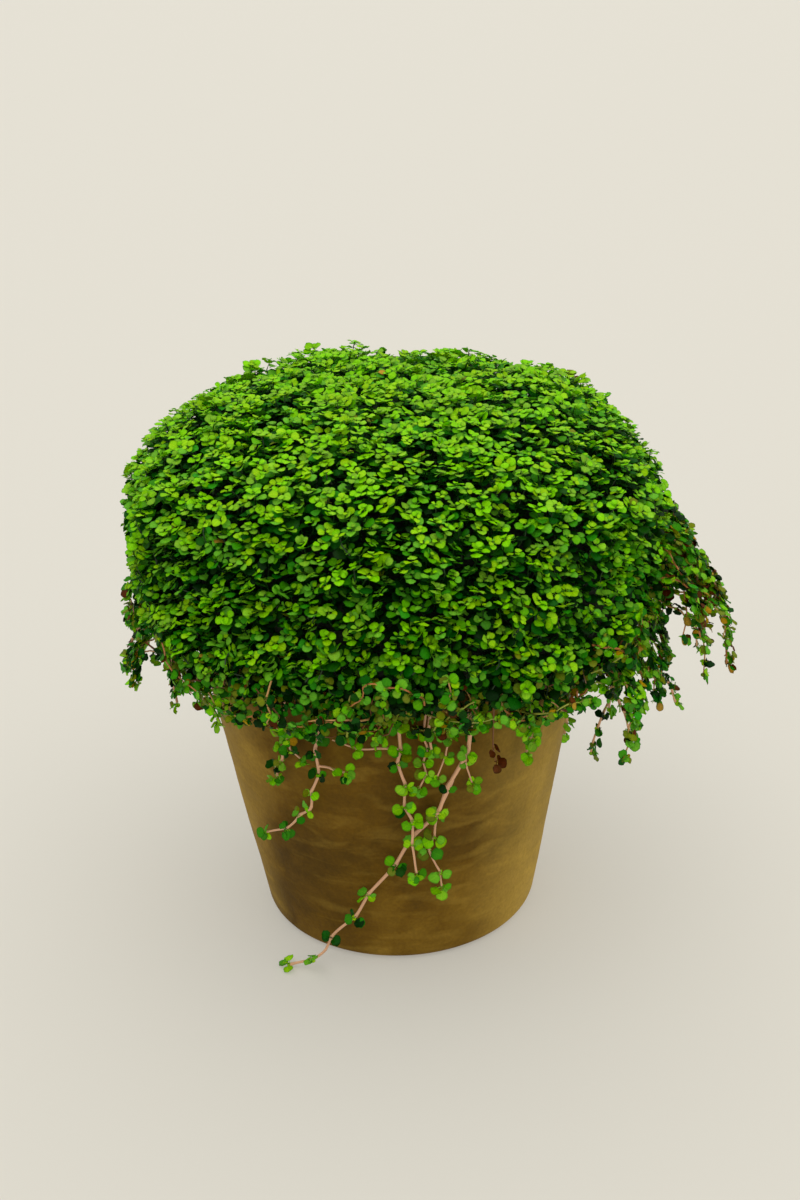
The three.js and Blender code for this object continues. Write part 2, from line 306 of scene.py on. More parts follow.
@dataclass(frozen=True)
class FleshyLeaf:
    """The fresh leaf of a creeping nettle: thin, fleshy and hairless.

    Its smooth skin gives a soft gloss, light comes through it yellower than it falls on it, and
    the midrib and side veins show as paler, slightly sunk lines. Its rim is painted darker, as
    painted shade that sets each blade off from its neighbours. The map holds a cell for each row
    and shade, the two darkest rows being painted shade, the upper side of the leaf in a cell's left
    half and the lower in its right.
    """

    ages: tuple[str, ...] = (
        "#84CE08",
        "#60BA06",
        "#349400",
        # Painted shade: this colour and the next are for leaves deep in the cushion.
        "#0F5C00",
        "#043002",
        "#728A0A",
        "#B4921A",
        "#64380E",
    )
    vein_gain: Colour = (2.2, 1.5, 1.2, 1.0)
    underside_gain: Colour = (1.5, 1.2, 1.2, 1.0)
    # Painted shade: darkens each blade towards its rim.
    margin_gain: Colour = (0.42, 0.52, 0.6, 1.0)
    shine_through: str = "#B8F000"
    roughness: float = 0.4
    gloss: float = 0.08
    through: float = 0.25

    def material(self) -> Material:
        """Build the leaf's material."""
        n = Nodes("fleshy_leaf")
        big = n.vector("MULTIPLY", n.add("UVMap", uv_map="OFBake").outputs[0], (SHADES, AGE_AND_SHADE_ROWS, 1))
        cell = n.vector("FLOOR", big)
        in_cell = n.split(n.vector("FRACTION", big))
        doubled = n.calc("MULTIPLY", in_cell[0], 2.0)
        across = n.calc("SUBTRACT", n.calc("FRACT", doubled), 0.5)
        along = in_cell[1]

        veins = self.veins(n, across, along)
        base_end = n.scaled(along, -9.0, 1.0, clamp=True)
        paler = n.calc("MAXIMUM", n.calc("MULTIPLY", veins, 0.4), base_end)
        veined = n.mix(paler, self.shaded(n, cell), self.vein_gain, "MULTIPLY")
        # Painted shade at the rim of each blade.
        beyond = n.calc("SUBTRACT", along, 0.5)
        far = n.scaled(beyond, beyond, n.calc("MULTIPLY", across, across))
        rim_shaded = n.mix(n.scaled(far, 9.0, -0.9, clamp=True), veined, self.margin_gain, "MULTIPLY")
        colour = n.mix(n.calc("FLOOR", doubled), rim_shaded, self.underside_gain, "MULTIPLY")

        bump = n.bump(veins, 0.4, 0.08 * MM, invert=True)
        skin = n.principled(colour, self.roughness, Specular_IOR_Level=self.gloss, Normal=bump)
        lit = n.mix(0.45, n.mix(1.0, colour, linear(self.shine_through), "MULTIPLY"), colour)
        through = n.add("BsdfTranslucent", {"Color": lit})
        parts = {0: self.through, 1: skin.outputs[0], 2: through.outputs[0]}
        return n.finish(n.add("MixShader", parts))

    def shaded(self, n: Nodes, cell: Socket) -> Socket:
        """Give the colour of a cell's row, which is painted shade in the two darkest rows, a little
        different in each shade.
        """
        age = n.scaled(n.split(cell)[1], 1 / AGE_AND_SHADE_ROWS, 0.5 / AGE_AND_SHADE_ROWS)
        stops = [(i / AGE_AND_SHADE_ROWS, colour) for i, colour in enumerate(self.ages)]
        base = n.ramp(age, stops, "CONSTANT")
        chance = n.add("TexWhiteNoise", {"Vector": cell}, noise_dimensions="2D").outputs["Color"]
        part = n.add("SeparateColor", {0: chance}).outputs
        inputs = {
            "Hue": n.scaled(part[0], 0.024, 0.483),
            "Saturation": n.scaled(part[1], 0.12, 0.94),
            "Value": n.scaled(part[2], 0.4, 0.8),
            "Color": base,
        }
        return n.add("HueSaturation", inputs).outputs[0]

    def veins(self, n: Nodes, across: Socket, along: Socket) -> Socket:
        """Draw the midrib, and the side veins that slant from it and fade to the rim."""
        off_midrib = n.calc("ABSOLUTE", across)
        midrib = n.scaled(off_midrib, -22.0, 1.0, clamp=True)
        slant = n.scaled(off_midrib, -0.9, along)
        wave = n.calc("SINE", n.calc("MULTIPLY", slant, 34.0))
        side_veins = n.scaled(wave, 3.0, -2.1, clamp=True)
        fading = n.scaled(off_midrib, -2.2, 1.0, clamp=True)
        return n.calc("MAXIMUM", midrib, n.calc("MULTIPLY", side_veins, fading))


@dataclass(frozen=True)
class CreepingStem:
    """The thread-like juicy stem of the plant: smooth, waxy, and flushed pink where light meets it.

    The map has one cell for each shade, from fresh green by pinkish tan to dried brown, and a last
    near-black green that is painted shade for stems inside the cushion.
    """

    # The last colour is painted shade, for stems inside the cushion.
    shades: tuple[str, ...] = ("#9AA43C", "#CC9C5C", "#D8A680", "#BC7840", "#7A4A22", "#143806")
    blotches: Point = (60, 25, 1)
    roughness: float = 0.45

    def material(self) -> Material:
        """Build the stem's material."""
        n = Nodes("creeping_stem")
        uv = n.add("UVMap", uv_map="OFBake").outputs[0]
        stops = [(i / len(self.shades), colour) for i, colour in enumerate(self.shades)]
        base = n.ramp(n.split(uv)[0], stops, "CONSTANT")
        blotch = n.noise(n.vector("MULTIPLY", uv, self.blotches), 1.0, 3.0).outputs["Fac"]
        colour = n.add("HueSaturation", {"Value": n.scaled(blotch, 0.9, 0.55), "Color": base})
        return n.finish(n.principled(colour.outputs[0], self.roughness, IOR=1.45))


@dataclass(frozen=True)
class ShadedTangle:
    """Old stems and dead leaves packed under the living ones: dull, and dark for want of light."""

    dark: str = "#060B03"
    light: str = "#16240A"
    strand: float = 2.5 * MM

    def material(self) -> Material:
        """Build the tangle's material."""
        n = Nodes("shaded_tangle")
        strands = n.noise(n.place(), self.strand, 4.0, distortion=2.0).outputs["Fac"]
        return n.finish(n.principled(n.ramp(strands, [(0.4, self.dark), (0.7, self.light)]), 1.0))


@dataclass(frozen=True)
class PaleFloor:
    """A plain pale, matt studio floor, lit a little from below so that shadows stay faint."""

    colour: str = "#A4A29E"
    glow_colour: str = "#FFFBEE"
    glow: float = 0.3

    def material(self) -> Material:
        """Build the floor's material."""
        n = Nodes("pale_floor")
        glow = {"Emission_Color": linear(self.glow_colour), "Emission_Strength": self.glow}
        return n.finish(n.principled(linear(self.colour), 0.8, **glow))


# ---------------------------------------------------------------------------------------------
# Shaping by hand
# ---------------------------------------------------------------------------------------------


def deselect_all() -> None:
    """Leave object mode with nothing selected."""
    if bpy.context.object and bpy.context.object.mode != "OBJECT":
        bpy.ops.object.mode_set(mode="OBJECT")
    bpy.ops.object.select_all(action="DESELECT")


def make_active(piece: Piece) -> None:
    """Make a piece the only selected object and the active one."""
    deselect_all()
    piece.select_set(True)
    bpy.context.view_layer.objects.active = piece


def new_piece(name: str) -> Piece:
    """Name the primitive that was just added, put its place into its mesh, and give it back."""
    piece = bpy.context.object
    piece.name = name
    piece.data.name = name
    bake_place(piece)
    return piece


def add_cone(
    name: str, sides: int, radii: tuple[float, float], height: float, middle: Point, **more: object
) -> Piece:
    """Add a cone.

    Args:
        name: The piece's name.
        sides: How many sides it has.
        radii: Its radius at its foot and at its top.
        height: Its height.
        middle: Where its middle is.
        more: Other options of the cone, such as its turn.

    Returns:
        The cone, with its place in its mesh.
    """
    deselect_all()
    size = {"radius1": radii[0], "radius2": radii[1], "depth": height}
    bpy.ops.mesh.primitive_cone_add(vertices=sides, location=middle, **size, **more)
    return new_piece(name)


def smooth(piece: Piece, degrees: float) -> None:
    """Shade a piece smooth, except over edges that are sharper than this."""
    make_active(piece)
    bpy.ops.object.shade_smooth_by_angle(angle=math.radians(degrees))


def group_above(piece: Piece, level: float) -> str:
    """Group the vertices over a level, and give the group's name."""
    group = piece.vertex_groups.new(name="above")
    group.add([v.index for v in piece.data.vertices if v.co.z > level], 1.0, "REPLACE")
    return group.name


def select_where(piece: Piece, kind: str, test: Callable[..., bool]) -> None:
    """Select the vertices, edges or faces that pass a test, and stay in edit mode.

    Args:
        piece: The object being shaped, which is active.
        kind: "VERT", "EDGE" or "FACE".
        test: Takes a vertex's place, an edge's two places, or a face's centre and normal.
    """
    bpy.ops.object.mode_set(mode="EDIT")
    bpy.ops.mesh.select_mode(type=kind)
    bpy.ops.mesh.select_all(action="DESELECT")
    bpy.ops.object.mode_set(mode="OBJECT")
    mesh = piece.data
    for vertex in mesh.vertices if kind == "VERT" else ():
        vertex.select = bool(test(vertex.co))
    for edge in mesh.edges if kind == "EDGE" else ():
        edge.select = bool(test(*[mesh.vertices[i].co for i in edge.vertices]))
    for face in mesh.polygons if kind == "FACE" else ():
        face.select = bool(test(face.center, face.normal))
    bpy.ops.object.mode_set(mode="EDIT")


def apply_modifier(piece: Piece, kind: str, **settings: object) -> None:
    """Add a modifier with some settings and apply it."""
    make_active(piece)
    modifier = piece.modifiers.new(kind.lower(), kind)
    for name, value in settings.items():
        setattr(modifier, name, value)
    bpy.ops.object.modifier_apply(modifier=modifier.name)


def bake_place(piece: Piece) -> None:
    """Put a piece's place, turn and scale into its mesh."""
    make_active(piece)
    bpy.ops.object.transform_apply(location=True, rotation=True, scale=True)


def roughen(piece: Piece, size: float, depth: float, group: str) -> None:
    """Push a surface in and out by clouds of a given size, and keep the result.

    Args:
        piece: The object to roughen.
        size: The size of the clouds.
        depth: How far the surface moves from end to end.
        group: The vertex group that it is held to.
    """
    clouds = bpy.data.textures.new(f"{piece.name}_clouds", "CLOUDS")
    clouds.noise_scale = size
    clouds.noise_depth = 3
    apply_modifier(
        piece,
        "DISPLACE",
        texture=clouds,
        texture_coords="LOCAL",
        strength=depth,
        mid_level=0.5,
        vertex_group=group,
    )


def finish_piece(piece: Piece, material: Material, slot: str, *nodes: str) -> None:
    """Dress a piece, fix it to the pot's body and hide the CAD nodes that it stands for.

    Args:
        piece: The finished piece.
        material: Its material.
        slot: Not used.
        nodes: The CAD nodes that it replaces.
    """
    piece.data.materials.clear()
    piece.data.materials.append(material)
    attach(piece, "root")
    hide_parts(*nodes)
    LOG.info("%s: %d faces", piece.name, len(piece.data.polygons))


# ---------------------------------------------------------------------------------------------
# Many copies of a small shape
# ---------------------------------------------------------------------------------------------


@dataclass(frozen=True)
class Template:
    """A small closed shape, modelled once, that many copies are taken from.

    Attributes:
        points: The shape's vertices, in the shape's own unit.
        faces: Triangles as rows of vertex indices.
        map_at: Each face corner's place in a cell of the map, from 0 to 1.
    """

    points: Array
    faces: Array
    map_at: Array


@dataclass
class Growth:
    """Leaves that are still to be made into a mesh, in batches of rows named by ROW_KEYS.

    A leaf's row holds where its blade meets its stalk, the way it points, the way its upper side
    faces, the blade's length, how old it looks together with any painted shade, and its shade of
    colour, which are its row and column on the map.
    """

    batches: list[tuple[Array, ...]] = field(default_factory=list)

    def add(self, *batch: Array) -> None:
        """Add a batch of leaves, as arrays of the same length in the order of ROW_KEYS."""
        self.batches.append(batch)

    def rows(self) -> dict[str, Array]:
        """Give each quantity as one array."""
        return {key: np.concatenate(rows) for key, rows in zip(ROW_KEYS, zip(*self.batches))}


def unit(vectors: Array) -> Array:
    """Scale each row to a length of 1."""
    return vectors / np.maximum(np.linalg.norm(vectors, axis=-1, keepdims=True), 1e-12)


def mesh_object(name: str, points: Array, faces: Array, map_at: Array) -> Piece:
    """Make a mesh object from triangles.

    Args:
        name: The object's name.
        points: Its vertices.
        faces: Its triangles as rows of vertex indices.
        map_at: Each face corner's place on the map OFBake.

    Returns:
        The object, linked to the scene.
    """
    mesh = bpy.data.meshes.new(name)
    mesh.vertices.add(len(points))
    mesh.vertices.foreach_set("co", points.astype(np.float32).ravel())
    mesh.loops.add(faces.size)
    mesh.loops.foreach_set("vertex_index", faces.astype(np.int32).ravel())
    mesh.polygons.add(len(faces))
    mesh.polygons.foreach_set("loop_start", np.arange(0, faces.size, 3, dtype=np.int32))
    layer = mesh.uv_layers.new(name="OFBake")
    layer.uv.foreach_set("vector", map_at.astype(np.float32).ravel())
    mesh.update(calc_edges=True)
    piece = bpy.data.objects.new(name, mesh)
    bpy.context.scene.collection.objects.link(piece)
    smooth(piece, 50)
    return piece


class LeafForm(Enum):
    """How a leaf's blade is shaped."""

    DOMED = "domed"
    FOLDED = "folded"
    CURLED = "curled"


@dataclass(frozen=True)
class LeafModel:
    """One round blade on its stalk, a unit long, pointing along +Y with its upper side to +Z."""

    form: LeafForm
    corners: int
    variant: int = 0
    width: float = 1.14
    unevenness: float = 0.09
    thickness: float = 0.07
    stalk: float = 0.3
    stalk_width: float = 0.045
    notch: float = 0.07

    def blade(self) -> Piece:
        """Shape the blade from a flat cone, whose point becomes the middle of its upper side."""
        middle = (0, 0.5, 0)
        piece = add_cone(
            "leaf_model", self.corners, (0.5, 0), self.thickness, middle, end_fill_type="TRIFAN"
        )
        away = lambda p: math.hypot(p.x, p.y - 0.5)
        select_where(piece, "VERT", lambda p: away(p) > 0.49 and p.y < 0.08)
        bpy.ops.transform.translate(value=(0, self.notch, 0))
        select_where(piece, "VERT", lambda p: abs(p.x) > 0.2)
        bpy.ops.transform.resize(value=(self.width, 1, 1), center_override=middle)
        bends = {
            LeafForm.DOMED: (
                (lambda p: away(p) < 0.1, (0, 0, 0.1)),
                (lambda p: p.y > 0.85, (0, -0.02, -0.1)),
            ),
            LeafForm.FOLDED: (
                (lambda p: abs(p.x) > 0.22, (0, 0, 0.09)),
                (lambda p: abs(p.x) > 0.4, (0, 0, 0.08)),
            ),
            LeafForm.CURLED: (
                (lambda p: p.y > 0.7, (0, 0, -0.15)),
                (lambda p: p.x < -0.3, (0, 0, 0.13)),
            ),
        }
        for test, move in bends[self.form]:
            select_where(piece, "VERT", test)
            bpy.ops.transform.translate(value=move)
        select_where(piece, "VERT", lambda p: away(p) > 0.3)
        bpy.ops.transform.vertex_random(offset=self.unevenness, seed=self.variant)
        bpy.ops.object.mode_set(mode="OBJECT")
        return piece

    def template(self) -> Template:
        """Model the leaf and read it as a template."""
        piece = self.blade()
        blade_faces = len(piece.data.polygons)
        middle = (0, self.notch - self.stalk / 2, -self.thickness / 2)
        radii = (self.stalk_width, self.stalk_width * 0.7)
        length = self.stalk + 2 * self.notch
        stalk = add_cone("stalk_model", 3, radii, length, middle, rotation=(-math.pi / 2, 0, 0))
        make_active(piece)
        stalk.select_set(True)
        bpy.ops.object.join()
        apply_modifier(piece, "TRIANGULATE")
        mesh = piece.data
        points = np.array([v.co for v in mesh.vertices])
        faces = np.array([f.vertices for f in mesh.polygons])
        upper = np.array([f.normal.z > 0 for f in mesh.polygons])
        on_blade = np.arange(len(faces)) < blade_faces
        at = points[faces]
        across = np.clip(at[..., 0] / self.width + 0.5, 0, 1)
        along = np.clip(at[..., 1], 0, 1)
        half = np.where(upper, 0.03, 0.53)[:, None]
        map_at = np.stack([half + 0.44 * across, 0.05 + 0.9 * along], axis=-1)
        down_stalk = 0.03 + 0.05 * (at[..., 1] + self.stalk)
        map_at[~on_blade] = np.stack([0.25 + at[..., 0], down_stalk], axis=-1)[~on_blade]
        bpy.data.objects.remove(piece)
        return Template(points, faces, map_at)


class LeafMaker:
    """Turns rows of leaves into meshes, taking each leaf's form by turns from its templates."""

    variants: int = 3

    def __init__(self, corners: int) -> None:
        """Model the templates with this many corners round each blade."""
        kinds = [(form, variant) for variant in range(self.variants) for form in LeafForm]
        self.templates = [LeafModel(form, corners, variant).template() for form, variant in kinds]

    def build(self, name: str, growth: Growth) -> Piece:
        """Make one mesh of all the leaves in a growth.

        Args:
            name: The piece's name.
            growth: The leaves.

        Returns:
            The mesh object.
        """
        rows = growth.rows()
        normal = unit(rows["normal"])
        forward = rows["forward"]
        forward = unit(forward - np.sum(forward * normal, axis=1, keepdims=True) * normal)
        right = np.cross(forward, normal)
        points, faces, map_at, count = [], [], [], 0
        for turn, template in enumerate(self.templates):
            some = np.arange(turn, len(normal), len(self.templates))
            if not len(some):
                continue
            local = template.points[None] * rows["size"][some, None, None]
            placed = (
                rows["base"][some, None]
                + local[..., :1] * right[some, None]
                + local[..., 1:2] * forward[some, None]
                + local[..., 2:] * normal[some, None]
            )
            own = count + np.arange(len(some))[:, None, None] * len(template.points)
            cell = np.stack([rows["shade"][some], rows["age"][some]], axis=-1)
            spot = (cell[:, None, None] + template.map_at[None]) / (SHADES, AGE_AND_SHADE_ROWS)
            points.append(placed.reshape(-1, 3))
            faces.append((own + template.faces[None]).reshape(-1, 3))
            map_at.append(spot.reshape(-1, 2))
            count += len(some) * len(template.points)
        return mesh_object(name, *map(np.vstack, (points, faces, map_at)))


@dataclass
class StemBundle:
    """Stems that are still to be made into a mesh: tubes through points, closed at both ends."""

    sides: int = 5
    points: list[Array] = field(default_factory=list)
    faces: list[Array] = field(default_factory=list)
    map_at: list[Array] = field(default_factory=list)
    count: int = 0

    def add(self, line: Array, radius: Array, shade: int) -> None:
        """Add one stem.

        Args:
            line: The points along its middle.
            radius: Its radius at each of them.
            shade: Its cell on the stems' map.
        """
        along = unit(np.gradient(line, axis=0))
        side = unit(np.cross(along, (0.31, 0.17, 0.93)))
        up = np.cross(side, along)
        turn = np.arange(self.sides) / self.sides * 2 * math.pi
        cos, sin = np.cos(turn), np.sin(turn)
        ring = cos[None, :, None] * side[:, None] + sin[None, :, None] * up[:, None]
        body = line[:, None] + ring * radius[:, None, None]
        rings = len(line)
        grid = np.arange(rings * self.sides).reshape(rings, self.sides)
        nxt = np.roll(grid, -1, axis=1)
        a, b, c, d = grid[:-1], nxt[:-1], nxt[1:], grid[1:]
        walls = np.stack([np.stack([a, b, c], -1), np.stack([a, c, d], -1)]).reshape(-1, 3)
        ends = [rings * self.sides, rings * self.sides + 1]
        first = np.stack([nxt[0], grid[0], np.full(self.sides, ends[0])], -1)
        last = np.stack([grid[-1], nxt[-1], np.full(self.sides, ends[1])], -1)
        faces = np.vstack([walls, first, last])
        shape = np.vstack([body.reshape(-1, 3), line[0], line[-1]])
        place = np.zeros((len(shape), 2))
        share = np.linspace(0.05, 0.95, rings)
        cells = len(StemShade)
        wave = 0.5 + 0.4 * sin
        place[:-2, 0] = (shade + np.tile(0.1 + 0.8 * wave, rings)) / cells
        place[:-2, 1] = np.repeat(share, self.sides) + np.tile(0.03 * cos, rings)
        place[-2:, 0] = (shade + 0.5) / cells
        place[-2:, 1] = (0.03, 0.97)
        self.points.append(shape)
        self.faces.append(faces + self.count)
        self.map_at.append(place[faces])
        self.count += len(shape)

    def build(self, name: str) -> Piece:
        """Make one mesh of all the stems."""
        return mesh_object(name, *map(np.vstack, (self.points, self.faces, self.map_at)))


# ---------------------------------------------------------------------------------------------
# Pot and potting mix
# ---------------------------------------------------------------------------------------------


@dataclass
class ClayPot:
    """The tapered pot, turned in one thick wall with no collar, with three drain holes."""

    foot_radius: float = 50 * MM
    wall: float = 6.5 * MM
    floor: float = 9 * MM
    foot_rounding: float = 4 * MM
    lip_rounding: float = 2.2 * MM
    corner_rounding: float = 7 * MM
    drain_radius: float = 5.5 * MM
    drain_count: int = 3
    drain_circle: float = 23 * MM
    swell: Cloud = (38 * MM, 0.7 * MM)
    pitting: Cloud = (7 * MM, 0.25 * MM)
    sides: int = 128
    bands: int = 44
    rim_radius: float = 0.0
    height: float = 0.0

    def __post_init__(self) -> None:
        """Take the rim and the height from the frame."""
        _, (self.rim_radius, _, self.height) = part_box("clay_pot")

    def wall_radius(self, z: float | Array) -> float | Array:
        """Give the outside radius at a height."""
        return self.foot_radius + (self.rim_radius - self.foot_radius) * z / self.height

    def build(self) -> Piece:
        """Turn the pot: a cone, hollowed, with rounded edges and drain holes."""
        radii = (self.foot_radius, self.rim_radius)
        piece = add_cone("aged_clay_pot", self.sides, radii, self.height, (0, 0, self.height / 2))
        select_where(piece, "FACE", lambda centre, normal: normal.z > 0.9)
        bpy.ops.mesh.inset(thickness=self.wall)
        down = self.floor - self.height
        bpy.ops.mesh.extrude_region_move(TRANSFORM_OT_translate={"value": (0, 0, down)})
        shrink = (self.wall_radius(self.floor) - self.wall) / (self.rim_radius - self.wall)
        bpy.ops.transform.resize(value=(shrink, shrink, 1), center_override=(0, 0, self.floor))
        self.round_edges(piece)
        self.band()
        self.drill(piece)
        standing = group_above(piece, self.foot_rounding)
        for size, depth in (self.swell, self.pitting):
            roughen(piece, size, depth, standing)
        smooth(piece, 35)
        return piece

    def round_edges(self, piece: Piece) -> None:
        """Round the lip, the foot and the corner inside."""
        edges = (
            (self.height, self.lip_rounding, 3),
            (0.0, self.foot_rounding, 5),
            (self.floor, self.corner_rounding, 5),
        )
        for z, rounding, segments in edges:
            select_where(piece, "EDGE", lambda a, b, z=z: abs(a.z - z) < 1e-5 and abs(b.z - z) < 1e-5)
            bpy.ops.mesh.bevel(offset=rounding, segments=segments)
        bpy.ops.object.mode_set(mode="OBJECT")

    def band(self) -> None:
        """Cut level bands into the active piece's wall, so that it has points to be uneven."""
        bpy.ops.object.mode_set(mode="EDIT")
        low = self.floor + self.corner_rounding
        high = self.height - 2 * self.lip_rounding
        for i in range(self.bands):
            z = low + (high - low) * (i + 0.5) / self.bands
            bpy.ops.mesh.select_all(action="SELECT")
            bpy.ops.mesh.bisect(plane_co=(0, 0, z), plane_no=(0, 0, 1))
        bpy.ops.object.mode_set(mode="OBJECT")

    def drill(self, piece: Piece) -> None:
        """Drill the drain holes through the floor."""
        for i in range(self.drain_count):
            angle = math.radians(90 + 360 * i / self.drain_count)
            deselect_all()
            bpy.ops.mesh.primitive_cylinder_add(
                vertices=32,
                radius=self.drain_radius,
                depth=4 * self.floor,
                location=(self.drain_circle * math.cos(angle), self.drain_circle * math.sin(angle), 0),
            )
            drill = new_piece("drill")
            apply_modifier(piece, "BOOLEAN", operation="DIFFERENCE", object=drill, solver="EXACT")
            bpy.data.objects.remove(drill)


@dataclass
class PottingMix:
    """The crumbly mix that fills the pot, crowned in the middle."""

    corner_rounding: float = 7 * MM
    crown: float = 4 * MM
    gap: float = 0.3 * MM
    rings: int = 9
    ring_rise: float = 0.385 * MM
    taper: float = 0.85
    crumbs: Cloud = (3 * MM, 1.5 * MM)
    sides: int = 72

    def build(self) -> Piece:
        """Shape the mix from a cone of the CAD node's size, and crumble its surface."""
        low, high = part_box("potting_mix")
        top_radius = high[0] - self.gap
        edge = high[2] - self.crown
        radii = (top_radius * self.taper, top_radius)
        middle = (0, 0, (edge + low[2]) / 2)
        piece = add_cone("moist_potting_mix", self.sides, radii, edge - low[2], middle)
        select_where(piece, "FACE", lambda centre, normal: normal.z > 0.9)
        for _ in range(self.rings):
            bpy.ops.mesh.inset(thickness=top_radius / (self.rings + 2))
            bpy.ops.transform.translate(value=(0, 0, self.ring_rise))
        bpy.ops.mesh.poke()
        select_where(piece, "EDGE", lambda a, b: a.z < low[2] + 1e-5 and b.z < low[2] + 1e-5)
        bpy.ops.mesh.bevel(offset=self.corner_rounding, segments=4)
        bpy.ops.object.mode_set(mode="OBJECT")
        roughen(piece, *self.crumbs, group_above(piece, edge - 1 * MM))
        smooth(piece, 30)
        return piece


# ---------------------------------------------------------------------------------------------
# Cushion of leaves
# ---------------------------------------------------------------------------------------------


@dataclass(frozen=True)
class Storey:
    """One storey of the cushion's shoots.

    Attributes:
        name: The storey's name.
        spacing: The least distance between two shoots.
        lift: How far the tips stand over the CAD surface, on average.
        relief: How far the tips stand in and out.
        leaf_size: The length of a grown blade.
        depths: How far under its tip each leaf of a shoot sits.
        sizes: Each leaf's size as a share of a grown blade's.
        ages: Each leaf's mean row on the map: younger near the tip, and darker further down the shoot as
            painted shade.
    """

    name: str
    spacing: float
    lift: float
    relief: float
    leaf_size: float
    depths: tuple[float, ...]
    sizes: tuple[float, ...]
    ages: tuple[float, ...]


CANOPY = Storey(
    name="canopy",
    spacing=3.8 * MM,
    lift=1.4 * MM,
    relief=3.4 * MM,
    leaf_size=2.45 * MM,
    depths=tuple(depth * MM for depth in (0, 0.2, 0.4, 0.6, 0.9, 1.3, 2.4, 3.8, 5.2)),
    sizes=(0.6, 0.85, 1.0, 1.05, 1.1, 1.1, 1.2, 1.3, 1.4),
    # Painted shade: leaves further down a shoot take darker rows.
    ages=(0, 0.2, 0.4, 0.7, 1, 1.6, 3, 4, 4),
)
UNDERSTOREY = Storey(
    name="understorey",
    spacing=4.6 * MM,
    lift=-4.2 * MM,
    relief=1.6 * MM,
    leaf_size=3.4 * MM,
    depths=tuple(depth * MM for depth in (0, 0.8, 1.8, 3)),
    sizes=(0.8, 1, 1, 1.1),
    # Painted shade: the understorey's leaves take the darkest rows.
    ages=(3.2, 4, 4, 4),
)


# The lower edge of the leaves round the pot: azimuth in degrees, and millimetres below the rim.
HEM_LINE = (
    *((-180, 17), (-154, 9), (-134, 5), (-120, 8), (-108, 13), (-90, 15)),
    *((-66, 16), (-40, 20), (0, 22), (90, 27), (180, 17)),
)


def clouds_at(points: Array, size: float, shift: float = 0) -> Array:
    """Give the value at each point, from about -1 to 1, of clouds of a given size."""
    return np.array([noise.noise(Vector(p) / size + Vector((shift, shift, shift))) for p in points])


def below_hem(point: Array, rim: float) -> float:
    """Give how far a point is below the leaves' lower edge, or a negative distance over it."""
    azimuth = math.degrees(math.atan2(point[1], point[0]))
    line = np.array(HEM_LINE)
    return float(rim - np.interp(azimuth, line[:, 0], line[:, 1]) * MM - point[2])


@dataclass
class Shoots:
    """Shoots of the cushion, one row for each.

    Attributes:
        tip: Where each shoot ends.
        outward: The way out of the cushion there.
        height: Each tip's height as a share, from 0 at the hem to 1 at the crown.
        hanging: How far it hangs instead of standing, from 0 to 1.
        sunk: How far it stands back from its neighbours, from -1 to 1.
    """

    tip: Array
    outward: Array
    height: Array
    hanging: Array
    sunk: Array


# The cell that a point is in and the 26 around it.
AROUND = tuple(np.ndindex(3, 3, 3))


